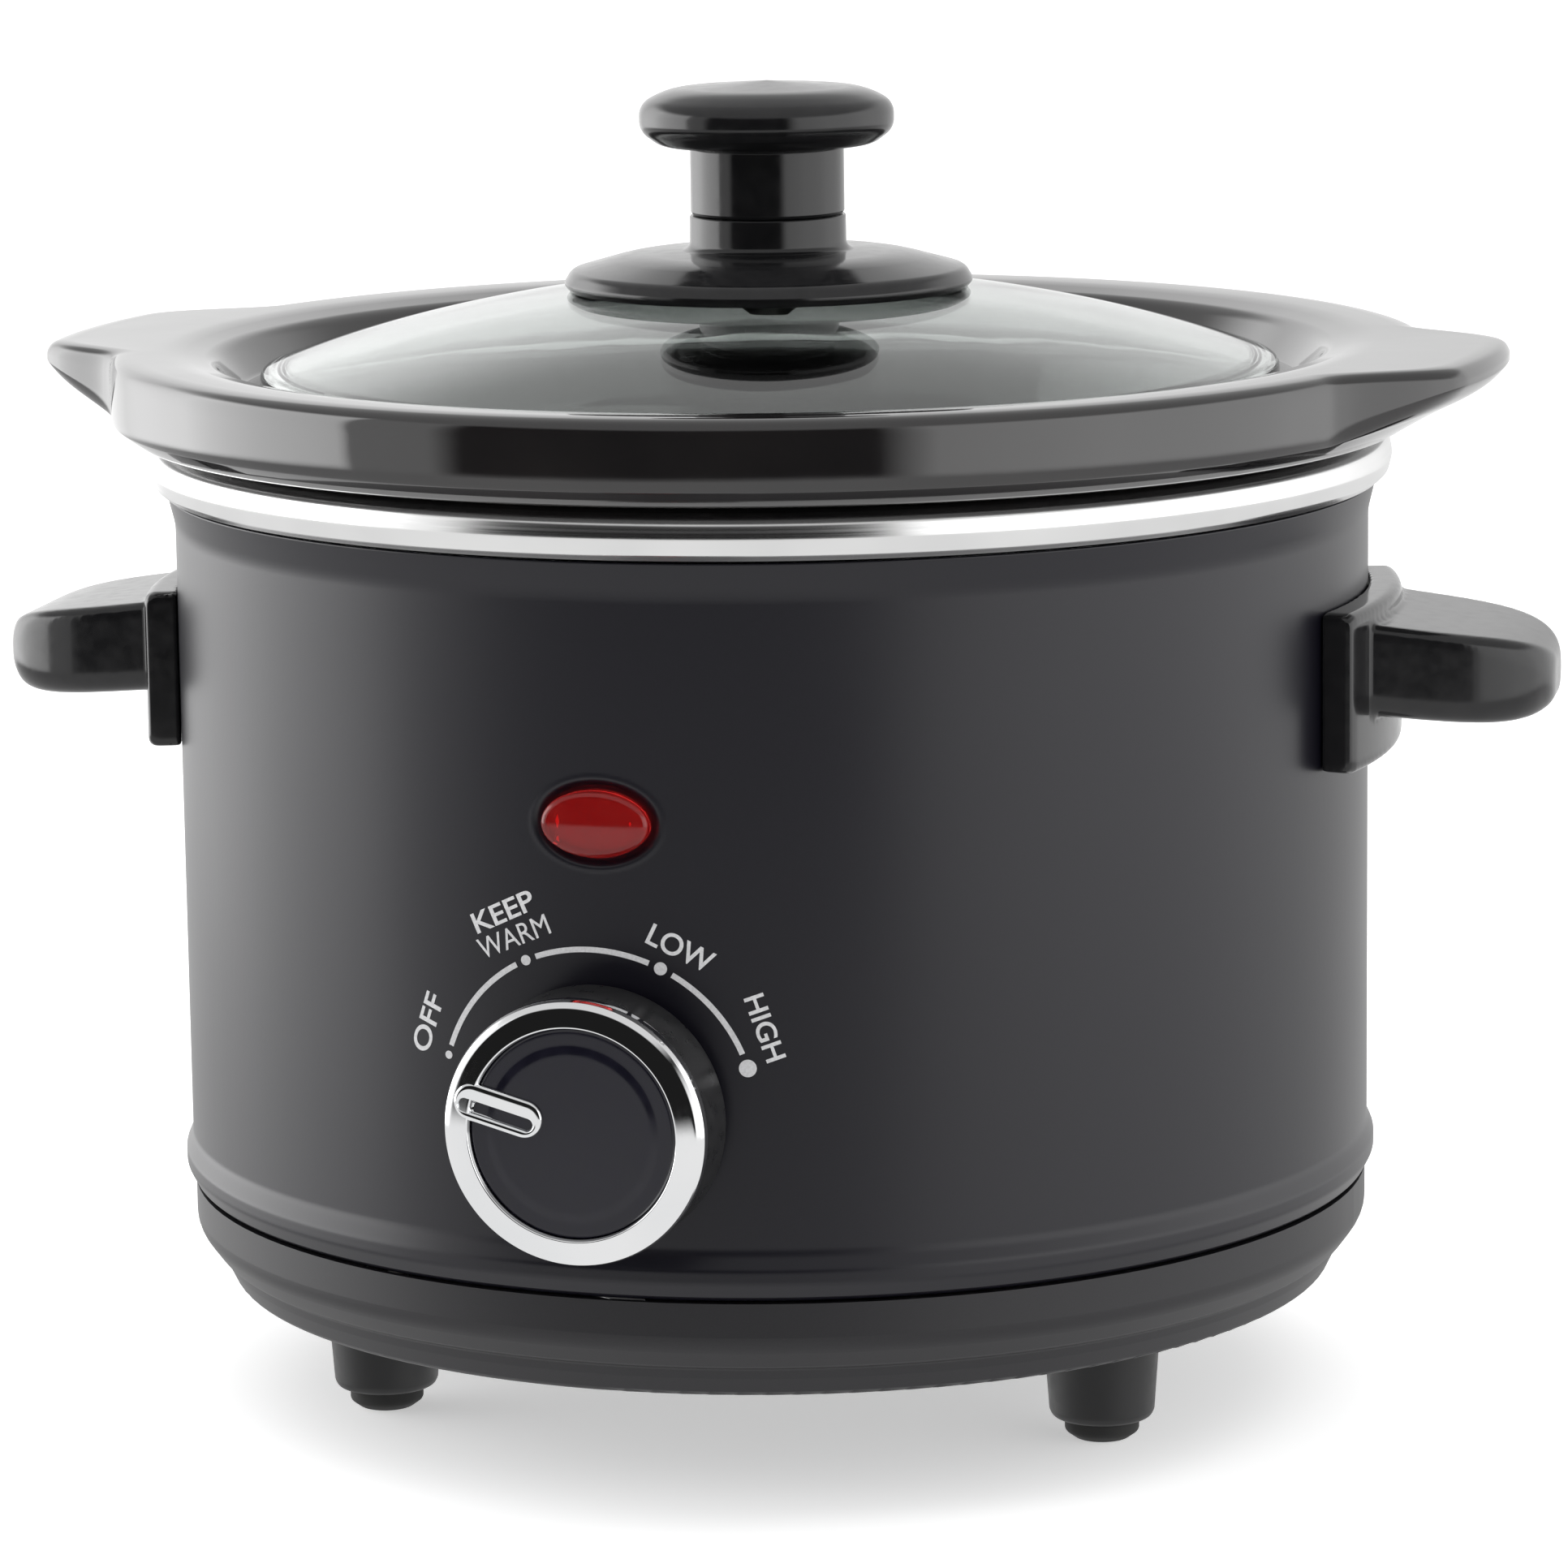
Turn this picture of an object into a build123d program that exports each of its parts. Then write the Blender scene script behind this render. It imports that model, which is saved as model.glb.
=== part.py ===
from build123d import *
import math
import os

# Small round slow cooker, 1.5 litre class.  Millimetres, +Z up.
# Origin: on the body axis, in the plane under the three feet.
# Front (control knob) faces -Y, the carrying handles lie on +X and -X.

os.makedirs("parts", exist_ok=True)

# ---------------------------------------------------------------- driving sizes
BODY_R = 95.0            # outer radius of the painted shell
SHELL_T = 0.9            # shell sheet thickness
SEAM_Z = 35.3            # joint between shell and base pan
PAN_Z = 19.3             # underside of the base pan
PAN_R = 88.8             # radius of the pan's bottom edge
RING_R = 98.8            # bright rolled rim of the heating well
RING_TOP = 154.4
WELL_R = 80.5            # inner radius of the heating well
WELL_FLOOR = 54.0        # upper face of the well floor
WELL_T = 0.8

CROCK_RIM_R = 104.6      # round part of the stoneware rim
CROCK_TOP = 168.6
CROCK_UNDER = 155.0      # underside of the rim
LUG_R = 117.2            # tip of the two finger lugs
LUG_FLAT = 9.5           # half angle of the blunt end of a lug, degrees
LUG_HALF = 20.5          # half angle at which a lug has blended into the rim, degrees
LEDGE_Z = 161.4          # ledge that carries the lid
CAVITY_FLOOR = 62.5

LID_R = 81.0
LID_EDGE_Z = 165.0       # top of the glass edge
LID_SPHERE = 246.5       # outer dome radius
GLASS_T = 3.5
COLLAR_R = 32.6
STEM_R = 12.2
CAP_R = 20.2
TOTAL_H = 209.6

KNOB_Z = 63.8            # height of the control axis
KNOB_R = 20.0
KNOB_FACE_Y = -110.0
KNOB_BACK_Y = -96.4
OFF_ANGLE = 164.5        # pointer at rest, degrees from +X towards +Z
DIAL_SWEEP = 147.0       # OFF to HIGH, clockwise from the front

LENS_Z = 107.5
LENS_W = 16.8
LENS_H = 10.2

HANDLE_REACH = 125.6     # handle tip from the body axis
PLATE_OUT = 100.4        # outer radius of the handle's backing plate
PLATE_HALF = 16.0        # half angle of that plate, degrees
PLATE_Z0, PLATE_Z1 = 105.0, 130.0
SCREW_Z = (112.0, 124.4)

FOOT_RADIUS = 67.0
BASE_TURN = 4.3          # handles and feet sit this far round from square with the control, degrees
FOOT_ANGLES = (BASE_TURN - 60.0, BASE_TURN + 60.0, BASE_TURN + 180.0)   # measured from the front, seen from above
PAD_R = 5.85
LEG_TOP_R, LEG_BOT_R = 9.3, 8.25


# ---------------------------------------------------------------- helpers
def outline(points, plane="XZ"):
    """Closed edge loop through (a, b[, corner radius]) points."""
    pts = [(p[0], p[1], p[2] if len(p) > 2 else 0.0) for p in points]
    n = len(pts)

    def v3(a, b):
        return Vector(a, 0, b) if plane == "XZ" else Vector(a, b, 0)

    ins, outs, mids = [], [], []
    for i in range(n):
        ax, ay, _ = pts[i - 1]
        bx, by, r = pts[i]
        cx, cy, _ = pts[(i + 1) % n]
        if r <= 0:
            ins.append((bx, by)); outs.append((bx, by)); mids.append(None)
            continue
        ux, uy = ax - bx, ay - by
        wx, wy = cx - bx, cy - by
        lu, lw = math.hypot(ux, uy), math.hypot(wx, wy)
        ux, uy, wx, wy = ux / lu, uy / lu, wx / lw, wy / lw
        ang = math.acos(max(-1, min(1, ux * wx + uy * wy)))
        if abs(math.pi - ang) < 1e-3:
            ins.append((bx, by)); outs.append((bx, by)); mids.append(None)
            continue
        d = r / math.tan(ang / 2)
        hx, hy = ux + wx, uy + wy
        lh = math.hypot(hx, hy)
        hx, hy = hx / lh, hy / lh
        dc = r / math.sin(ang / 2)
        mx, my = bx + hx * (dc - r), by + hy * (dc - r)
        ins.append((bx + ux * d, by + uy * d))
        outs.append((bx + wx * d, by + wy * d))
        mids.append((mx, my))
    edges = []
    for i in range(n):
        if mids[i] is not None:
            edges.append(ThreePointArc(v3(*ins[i]), v3(*mids[i]), v3(*outs[i])))
        a, b = outs[i], ins[(i + 1) % n]
        if math.hypot(a[0] - b[0], a[1] - b[1]) > 1e-6:
            edges.append(Line(v3(*a), v3(*b)))
    return Wire(edges)


def turned(points, arc=360.0):
    """Body of revolution about Z from an (r, z[, radius]) outline."""
    return revolve(Face(outline(points)), Axis.Z, arc)


def turned_y(points, z):
    """Body of revolution about the radial front axis from (r, y[, radius])."""
    return Pos(0, 0, z) * revolve(Face(outline(points, "XY")), Axis.Y)


def bar(r, a, b):
    """Round bar of radius r between two points."""
    a, b = Vector(*a), Vector(*b)
    d = b - a
    return Solid.make_cylinder(r, d.length, Plane(origin=a, z_dir=d))


def around(angle, solid):
    """Turn a solid about Z; angle from the front (-Y), positive to +X."""
    return Rot(0, 0, angle) * solid


def lead(points, radius, r):
    """Insulated wire along straight runs joined by tangent arcs."""
    path = FilletPolyline(*points, radius=radius)
    sec = Plane(origin=path @ 0, z_dir=path % 0) * Circle(r)
    return sweep(sec, path=path)


def save(name, *solids):
    flat = []
    for s in solids:
        flat.extend(s.solids())
    shape = flat[0] if len(flat) == 1 else Compound(children=flat)
    export_step(shape, "parts/%s.step" % name)


# ---------------------------------------------------------------- outer shell
t = SHELL_T
outer_line = [(94.2, SEAM_Z + 0.2), (95.0, 36.2, 0.6), (96.1, 38.3, 1.6), (96.1, 40.4, 1.6),
              (BODY_R, 42.9, 3), (BODY_R, 141.5, 8), (96.2, 146.5)]
inner_line = [(a - t, *rest) for a, *rest in reversed(outer_line)]
shell = turned(outer_line + inner_line)
shell -= Pos(0, -BODY_R, KNOB_Z) * Rot(90, 0, 0) * Cylinder(5.0, 12)
lens_hole = Pos(0, -BODY_R, LENS_Z) * Rot(90, 0, 0) * extrude(Ellipse(7.35, 4.1), 8, both=True)
shell -= lens_hole
for side in (-90, 90):
    for z in SCREW_Z:
        shell -= around(side + BASE_TURN, Pos(0, -BODY_R, z) * Rot(90, 0, 0) * Cylinder(2.2, 12))
shell -= Pos(0, BODY_R, 52) * Rot(90, 0, 0) * Cylinder(4.9, 12)
save("outer_shell", shell)

# ---------------------------------------------------------------- base pan
pan_out = [(94.7, SEAM_Z - 0.2), (94.7, 28.4, 4.5), (91.9, 24.6, 1.2), (90.9, 24.0, 0.8),
           (90.3, 22.4, 2), (PAN_R, PAN_Z, 1.4), (21.0, PAN_Z, 1.5), (18.0, 23.2, 1.5), (0, 23.2)]
pan_in = [(0, 24.2), (17.2, 24.2, 1.5), (20.2, PAN_Z + 1, 1.5), (88.0, PAN_Z + 1, 1.4),
          (89.3, 22.6, 2), (90.1, 25.0, 0.8), (91.1, 25.5, 1.2), (93.7, 29.0, 3.5), (93.7, SEAM_Z - 0.2)]
pan = turned(pan_out + pan_in)
pan -= Cylinder(2.75, 80)
for a in FOOT_ANGLES:
    pan -= around(a, Pos(0, -FOOT_RADIUS, PAN_Z) * Cylinder(1.9, 8))
for k in range(8):
    for rr in (34.0, 42.0):
        slot = extrude(SlotOverall(11.0, 3.0), 8, both=True)
        pan -= around(k * 45 + 22.5, Pos(0, -rr, PAN_Z) * slot)
save("base_pan", pan)

# ---------------------------------------------------------------- heating well
w_out = [(96.9, 146.9), (98.2, 148.0, 1.2), (RING_R, 150.4, 2.0), (98.3, 153.0, 1.8), (95.6, RING_TOP, 2.2),
         (90.0, RING_TOP, 2), (86.0, 153.6, 2), (WELL_R, 153.6, 3.0), (WELL_R, WELL_FLOOR, 12.0), (0, WELL_FLOOR)]
w_in = [(0, WELL_FLOOR - WELL_T), (WELL_R + WELL_T, WELL_FLOOR - WELL_T, 12.8), (WELL_R + WELL_T, 152.8, 2.2),
        (86.1, 152.8, 2), (90.0, 153.6, 2), (95.3, 153.6, 1.4), (97.6, 152.5, 1.0), (RING_R - 0.8, 150.4, 1.2),
        (97.5, 148.4, 0.6), (96.4, 147.5)]
well = turned(w_out + w_in)
save("heating_well", well)

# ---------------------------------------------------------------- heater, insulation, fixings
def split_ring(r0, r1, z0, z1, gap):
    ring = turned([(r0, z0), (r1, z0), (r1, z1), (r0, z1)], 360 - gap)
    return Rot(0, 0, 90 + gap / 2) * ring


save("heater_band", split_ring(81.4, 83.2, 84, 122, 8))
save("insulation_wrap", split_ring(83.35, 87.6, 80, 128, 5))
straps = [split_ring(87.65, 88.1, z, z + 5, 4) for z in (90, 116)]
save("band_straps", *straps)

stud = bar(2.5, (0, 0, 14.6), (0, 0, 53.15))
stud = stud + Pos(0, 0, 52.1) * Cylinder(7, 2.0)
save("centre_stud", stud)
save("centre_washer", Pos(0, 0, 22.6) * (Cylinder(8, 1.0) - Cylinder(2.7, 4)))
nut = extrude(RegularPolygon(4.6, 6), 4.0) - Cylinder(2.56, 20)
save("centre_nut", Pos(0, 0, 18.0) * nut)

# ---------------------------------------------------------------- feet
leg = turned([(0, 3.4), (7.7, 3.4, 1.2), (LEG_BOT_R, 4.6, 1.0), (LEG_TOP_R, PAN_Z - 0.05), (0, PAN_Z - 0.05)])
leg -= Pos(0, 0, 3.4 + 2.0) * Cylinder(2.6, 8.01)
leg -= Pos(0, 0, 15) * Cylinder(1.8, 12)
pad = turned([(0, 0), (4.2, 0, 0.8), (PAD_R, 1.2, 1.0), (PAD_R, 3.3), (2.5, 3.3), (2.5, 8.6, 0.5), (0, 8.6)])
fscrew = turned([(0, 9.4), (1.7, 9.4), (1.7, PAN_Z + 1.05), (3.9, PAN_Z + 1.05), (3.9, 21.9, 1.0), (2.4, 23.0), (0, 23.0)])
fscrew -= Pos(0, 0, 23) * Box(4.6, 0.9, 1.6) + Pos(0, 0, 23) * Box(0.9, 4.6, 1.6)
names = ("foot_front_left", "foot_front_right", "foot_rear")
pads, fscrews = [], []
for nm, a in zip(names, FOOT_ANGLES):
    save(nm, around(a, Pos(0, -FOOT_RADIUS, 0) * leg))
    pads.append(around(a, Pos(0, -FOOT_RADIUS, 0) * pad))
    fscrews.append(around(a, Pos(0, -FOOT_RADIUS, 0) * fscrew))
save("foot_pads", *pads)
save("foot_screws", *fscrews)

# ---------------------------------------------------------------- carrying handles
def rounded_section(x, w, h, zc, r):
    r = min(r, w * 0.98, h * 0.98)
    return Plane(origin=(x, 0, zc), x_dir=(0, 1, 0), z_dir=(1, 0, 0)) * RectangleRounded(2 * w, 2 * h, r)


def handle():
    secs = []
    x0, x1, n = 104.0, HANDLE_REACH, 2.35
    stations = [98.2, 104.0] + [x0 + (x1 - x0) * k for k in (0.21, 0.41, 0.59, 0.73, 0.84, 0.93, 0.98, 1.0)]
    for x in stations:
        u = max(0.0, (x - x0) / (x1 - x0))
        if x >= x1:
            s, sh = 0.16, 0.16
        else:
            s = max(0.16, (1 - u ** n) ** (1 / n))
            sh = max(0.16, (1 - u ** 5) ** 0.43)
        w = (20.6 - 1.4 * (x - 98.2) / 20.0) * (0.30 + 0.70 * s)
        h = 7.3 * (0.42 + 0.58 * sh) - 0.02 * (x - 98.2)
        zc = 120.1 - 0.10 * (x - 98.2)
        secs.append(rounded_section(x, w, h, zc, h * 0.72))
    wing = loft(secs)
    plate = Rot(0, 0, -PLATE_HALF) * turned([(BODY_R + 0.06, PLATE_Z0), (PLATE_OUT, PLATE_Z0),
                                             (PLATE_OUT, PLATE_Z1), (BODY_R + 0.06, PLATE_Z1)], 2 * PLATE_HALF)
    try:
        plate = fillet([e for e in plate.edges() if abs(math.hypot((e @ 0.5).X, (e @ 0.5).Y) - PLATE_OUT) < 0.05], 1.3)
    except Exception as exc:
        print("plate fillet skipped", exc)
    body = plate + wing
    pocket = Pos(108.5, 0, 111.5) * extrude(RectangleRounded(15.0, 25.0, 4.0), 9.5)
    body -= pocket
    for z in SCREW_Z:
        body -= bar(1.75, (94, 0, z), (103.0 if z < 118 else 103.5, 0, z))
    body -= bar(BODY_R + 0.05, (0, 0, 100), (0, 0, 135))
    return body


h_right = Rot(0, 0, BASE_TURN) * handle()
h_left = Rot(0, 0, 180) * h_right
save("handle_right", h_right)
save("handle_left", h_left)

hs = []
for z in SCREW_Z:
    s = revolve(Face(outline([(0, 102.4), (1.68, 102.4), (1.68, 94.0), (3.6, 93.95), (3.6, 92.6, 0.9), (2.2, 91.5), (0, 91.5)], "XY")), Axis.Y)
    s -= Pos(0, 91.4, 0) * Box(4.2, 1.4, 0.8) + Pos(0, 91.4, 0) * Box(0.8, 1.4, 4.2)
    for a in (-90, 90):
        hs.append(Rot(0, 0, a + BASE_TURN) * Pos(0, 0, z) * s)
save("handle_screws", *hs)

# ---------------------------------------------------------------- indicator
lens = Pos(0, -90.7, LENS_Z) * Rot(90, 0, 0) * extrude(Ellipse(7.2, 3.95), 4.6)
head = Pos(0, -95.1, LENS_Z) * Rot(90, 0, 0) * extrude(Ellipse(LENS_W / 2, LENS_H / 2), 1.9)
try:
    head = fillet(head.edges().filter_by_position(Axis.Y, -97.1, -96.9), 1.2)
except Exception as exc:
    print("lens fillet skipped", exc)
lens = lens + head
save("indicator_lens", lens)
retainer = Pos(0, -92.1, LENS_Z) * Rot(90, 0, 0) * extrude(Ellipse(9.6, 6.3) - Ellipse(7.3, 4.05), 1.0)
save("lens_retainer", retainer)
lamp = bar(1.25, (-6.0, -89.2, LENS_Z), (6.0, -89.2, LENS_Z))
save("neon_lamp", lamp)

# ---------------------------------------------------------------- rotary switch
sw = Pos(0, -87.8, KNOB_Z) * Box(26, 9.4, 24)
try:
    sw = fillet(sw.edges().filter_by(Axis.Y), 2.5)
except Exception as exc:
    print("switch fillet skipped", exc)
sw += bar(4.5, (0, -92.4, KNOB_Z), (0, -99.4, KNOB_Z))
sw -= bar(3.06, (0, -84.2, KNOB_Z), (0, -101, KNOB_Z))
save("rotary_switch", sw)
sw_nut = Pos(0, -95.2, KNOB_Z) * Rot(90, 0, 0) * (extrude(RegularPolygon(7.4, 6), 2.2) - Cylinder(4.56, 12))
save("switch_nut", sw_nut)
tabs = []
for x in (-8, 0, 8):
    tabs.append(Pos(x, -86.4, KNOB_Z - 12 - 3.3) * (Box(4.0, 0.8, 6.5) - Pos(0, 0, -1.4) * Rot(90, 0, 0) * Cylinder(0.8, 4)))
save("switch_terminals", *tabs)

# ---------------------------------------------------------------- control knob (turns on the front axis)
shaft = bar(3.0, (0, -84.6, KNOB_Z), (0, -106.4, KNOB_Z))
shaft -= Pos(0, -104.4, KNOB_Z + 3.6) * Box(8, 6.2, 2.6)
save("switch_shaft", shaft)

skirt = turned_y([(3.1, -104.0), (3.1, KNOB_FACE_Y + 3.4), (0, KNOB_FACE_Y + 3.4), (0, KNOB_FACE_Y + 2.2), (18.2, KNOB_FACE_Y + 2.2),
                  (18.2, KNOB_FACE_Y + 3.6), (19.5, KNOB_FACE_Y + 3.6), (19.9, KNOB_BACK_Y - 0.6, 0.5), (19.4, KNOB_BACK_Y),
                  (17.9, KNOB_BACK_Y), (17.5, -105.6), (6.2, -105.6), (6.2, -100.4), (3.1, -100.4)], KNOB_Z)
save("knob_body", skirt)

bezel = turned_y([(15.7, KNOB_FACE_Y + 0.35), (15.9, KNOB_FACE_Y, 0), (18.9, KNOB_FACE_Y, 0.3), (KNOB_R, KNOB_FACE_Y + 0.9, 0.4),
                  (KNOB_R, KNOB_FACE_Y + 3.4), (18.4, KNOB_FACE_Y + 3.4), (18.4, KNOB_FACE_Y + 2.1), (15.7, KNOB_FACE_Y + 2.1)], KNOB_Z)
PTR_END, PTR_W = 4.9, 4.9
ca, sa = math.cos(math.radians(OFF_ANGLE)), math.sin(math.radians(OFF_ANGLE))
ptr2d = Pos((PTR_END + 17.0) / 2, 0) * SlotOverall(17.0 - PTR_END, PTR_W)
groove2d = Pos((6.0 + 17.6) / 2, 0.75) * SlotOverall(17.6 - 6.0, 1.9)
front_plane = Plane(origin=(0, KNOB_FACE_Y, KNOB_Z), x_dir=(ca, 0, sa), z_dir=(0, -1, 0))
pointer = extrude(front_plane * ptr2d, 2.1, dir=(0, 1, 0))
groove = extrude(front_plane * groove2d, 0.9, dir=(0, 1, 0))
bezel = bezel + pointer
bezel -= groove
save("knob_bezel", bezel)

insert = turned_y([(0, KNOB_FACE_Y + 0.6), (15.3, KNOB_FACE_Y + 0.6, 0.3), (15.65, KNOB_FACE_Y + 1.0), (15.65, KNOB_FACE_Y + 2.1), (0, KNOB_FACE_Y + 2.1)], KNOB_Z)
ptr_gap = Pos((PTR_END + 18.0) / 2 - 0.03, 0) * SlotOverall(18.0 - PTR_END + 0.06, PTR_W + 0.08)
insert -= extrude(Plane(origin=(0, KNOB_FACE_Y - 0.5, KNOB_Z), x_dir=(ca, 0, sa), z_dir=(0, -1, 0)) * ptr_gap, 3.2, dir=(0, 1, 0))
save("knob_insert", insert)

clip = turned_y([(6.3, -101.0), (7.0, -101.0), (7.0, -105.0), (6.3, -105.0)], KNOB_Z)
clip -= Pos(0, -103, KNOB_Z - 7) * Box(2.2, 6, 4)
save("knob_spring_ring", clip)

# ---------------------------------------------------------------- mains entry and wiring
gland = turned_y([(3.3, 91.6), (6.0, 91.6), (6.0, 93.2), (4.75, 93.7), (4.75, 95.2), (7.6, 95.2), (7.6, 98.0, 1.2), (5.2, 99.6, 0.8), (3.3, 99.6)], 52.0)
save("cord_gland", gland)
block = Pos(0, 53, PAN_Z + 1.05 + 6.2) * Box(30, 15, 12.4)
block = fillet(block.edges().filter_by(Axis.Z), 1.5)
for x in (-9, 0, 9):
    block -= bar(2.1, (x, 53, PAN_Z + 8.5), (x, 53, PAN_Z + 15))
    block -= bar(1.5, (x, 40, PAN_Z + 6.2), (x, 66, PAN_Z + 6.2))
save("terminal_block", block)
bs = [Pos(x, 53, PAN_Z + 10.1) * (Cylinder(2.0, 3.0) - Pos(0, 0, 1.5) * Box(5, 0.7, 1.0)) for x in (-9, 0, 9)]
save("terminal_screws", *bs)

zt = PAN_Z + 6.2
zw = KNOB_Z - 12 - 6.6
save("wire_live", lead([(-9, 49.0, zt), (-9, 38.0, zt), (-26, 14.0, 29), (-26, -38, 31), (-8, -71, 34), (-8, -86.4, 38.0), (-8, -86.4, zw)], 3.4, 1.2))
save("wire_heater_low", lead([(0, -86.4, zw), (0, -86.4, 40.2), (8, -72, 37), (30, -52, 36), (58, -48, 40), (66.6, -50.2, 52), (66.6, -50.2, 79.9)], 3.4, 1.2))
save("wire_heater_high", lead([(8, -86.4, zw), (8, -86.4, 38.5), (23, -80.5, 38.5), (38, -74.8, 49), (40.0, -73.4, 60), (40.0, -73.4, 79.9)], 3.0, 1.2))
save("wire_neutral", lead([(9, 49.0, zt), (9, 38.0, zt), (34, 26, 30), (60, 18, 36), (80.5, 20, 50), (81.4, 20, 64), (81.4, 20, 79.9)], 3.4, 1.2))
save("lamp_leads", bar(0.6, (-4.6, -89.4, 75.85), (-4.6, -89.4, 106.2)), bar(0.6, (4.6, -89.4, 75.85), (4.6, -89.4, 106.2)))

fa = 150
fuse = around(fa, bar(2.0, (0, -84.2, 59), (0, -84.2, 71)) + bar(0.6, (0, -84.2, 52), (0, -84.2, 78)))
save("thermal_fuse", fuse)
fclip = around(fa, Pos(0, -84.2, 65) * (Box(8.0, 5.0, 5.0) - Cylinder(2.1, 8)))
save("fuse_clip", fclip - bar(WELL_R + WELL_T + 0.05, (0, 0, 50), (0, 0, 80)))

# ---------------------------------------------------------------- stoneware crock
def rim_point(d, inset, z):
    """Point of the rim outline at d degrees, with the two lugs on +X and -X."""
    m = math.degrees(math.acos(min(1.0, abs(math.cos(math.radians(d))))))
    u = max(0.0, min(1.0, (LUG_HALF - m) / (LUG_HALF - LUG_FLAT)))
    r = CROCK_RIM_R + (LUG_R - CROCK_RIM_R) * u * u * (3 - 2 * u) - inset
    return Vector(r * math.cos(math.radians(d)), r * math.sin(math.radians(d)), z)


def rim_outline(inset, z, k=24):
    edges = []
    for c in (0, 180):
        ends = [math.radians(c - LUG_HALF), math.radians(c + LUG_HALF)]
        edges.append(Spline(*[rim_point(c - LUG_HALF + 2 * LUG_HALF * i / k, inset, z) for i in range(k + 1)],
                            tangents=[Vector(-math.sin(e), math.cos(e), 0) for e in ends]))
        edges.append(ThreePointArc(rim_point(c + LUG_HALF, inset, z), rim_point(c + 90, inset, z), rim_point(c + 180 - LUG_HALF, inset, z)))
    return Face(Wire(edges))


ROUND = 4.2              # rounding of the rim's upper outer edge
rim = extrude(rim_outline(0, CROCK_UNDER), CROCK_TOP - ROUND - CROCK_UNDER, dir=(0, 0, 1))
steps = [math.radians(q) for q in (0, 22.5, 45, 67.5, 90)]
for q0, q1 in zip(steps, steps[1:]):
    rim += loft([rim_outline(ROUND * (1 - math.cos(q)), CROCK_TOP - ROUND + ROUND * math.sin(q)) for q in (q0, q1)], ruled=True)
under = turned([(0, CROCK_UNDER - 1), (100.6, CROCK_UNDER), (104.7, 158.2, 2), (112.0, 161.4, 4), (LUG_R + 0.2, 164.0, 2),
                (LUG_R + 0.2, CROCK_TOP + 1), (0, CROCK_TOP + 1)])
rim = rim & under
body = turned([(0, 55.6), (74.5, 55.6, 10), (78.3, 148), (79.0, CROCK_UNDER + 1), (79.0, CROCK_UNDER + 6), (0, CROCK_UNDER + 6)])
solid = rim + body
cut = turned([(0, CROCK_TOP + 2), (97.0, CROCK_TOP + 2), (97.0, CROCK_TOP + 0.01), (94.5, CROCK_TOP - 0.15, 20), (88.4, CROCK_TOP - 1.3, 3.0), (84.6, LEDGE_Z + 0.6, 1.6),
              (82.6, LEDGE_Z, 0.8), (76.2, LEDGE_Z, 2.2), (72.6, 150.5, 12), (69.0, CAVITY_FLOOR, 12), (0, CAVITY_FLOOR)])
solid -= cut
foot_ring = turned([(0, 54), (60, 54), (60, 56.6, 0.8), (0, 56.6)])
solid -= foot_ring
save("crock", solid)

# ---------------------------------------------------------------- lid
zc = LID_EDGE_Z - math.sqrt(LID_SPHERE ** 2 - LID_R ** 2)


def dome(r, s=LID_SPHERE):
    return zc + math.sqrt(s * s - r * r)


si = LID_SPHERE - GLASS_T
ra, rb = 3.3, 79.6
glass_edges = [ThreePointArc(Vector(ra, 0, dome(ra)), Vector(45, 0, dome(45)), Vector(rb, 0, dome(rb))),
               ThreePointArc(Vector(rb, 0, dome(rb)), Vector(LID_R - 0.15, 0, 164.6), Vector(LID_R, 0, 163.7)),
               Line(Vector(LID_R, 0, 163.7), Vector(LID_R, 0, LEDGE_Z + 0.9)),
               Line(Vector(LID_R, 0, LEDGE_Z + 0.9), Vector(LID_R - 0.6, 0, LEDGE_Z + 0.3)),
               Line(Vector(LID_R - 0.6, 0, LEDGE_Z + 0.3), Vector(78.4, 0, LEDGE_Z + 0.3)),
               Line(Vector(78.4, 0, LEDGE_Z + 0.3), Vector(77.6, 0, dome(77.6, si))),
               ThreePointArc(Vector(77.6, 0, dome(77.6, si)), Vector(45, 0, dome(45, si)), Vector(ra, 0, dome(ra, si))),
               Line(Vector(ra, 0, dome(ra, si)), Vector(ra, 0, dome(ra)))]
glass = revolve(Face(Wire(glass_edges)), Axis.Z)
save("lid_glass", glass)

collar = turned([(2.6, 179.0), (6.0, 179.0), (28.0, dome(28) + 0.25), (31.6, dome(31.6) + 0.15, 0.3), (COLLAR_R, 177.9, 0.8), (31.4, 179.9, 1.8),
                 (22.5, 182.4, 25), (12.45, 183.0, 1.5), (12.4, 188.4, 0.3), (2.6, 188.4)])
save("lid_collar", collar)
kn = turned([(2.35, 188.5), (11.9, 188.5, 0.2), (STEM_R, 189.0, 0.2), (STEM_R, 199.4, 0.6), (17.0, 199.5, 4.0), (CAP_R, 201.9, 3.0), (CAP_R, 206.0, 3.0),
             (16.0, 208.35, 12), (0, TOTAL_H), (0, 201.5), (2.35, 201.5)])
save("lid_knob", kn)
zi = dome(0, si)
washer = turned([(2.6, zi - 1.4), (9.0, zi - 1.4, 0.3), (9.0, zi - 0.3, 0.3), (2.6, zi - 0.3)])
save("lid_washer", washer)
lscrew = turned([(0, zi - 3.9), (3.0, zi - 3.9, 0.5), (4.6, zi - 2.6, 0.6), (4.6, zi - 1.45), (2.25, zi - 1.45), (2.25, 200.8), (0, 200.8)])
lscrew -= Pos(0, 0, zi - 3.9) * (Box(5.2, 0.9, 1.6) + Box(0.9, 5.2, 1.6))
save("lid_screw", lscrew)

print("parts written:", len(os.listdir("parts")))
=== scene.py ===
import math

import bmesh
import bpy
import numpy as np
from mathutils import Matrix, Vector


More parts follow.
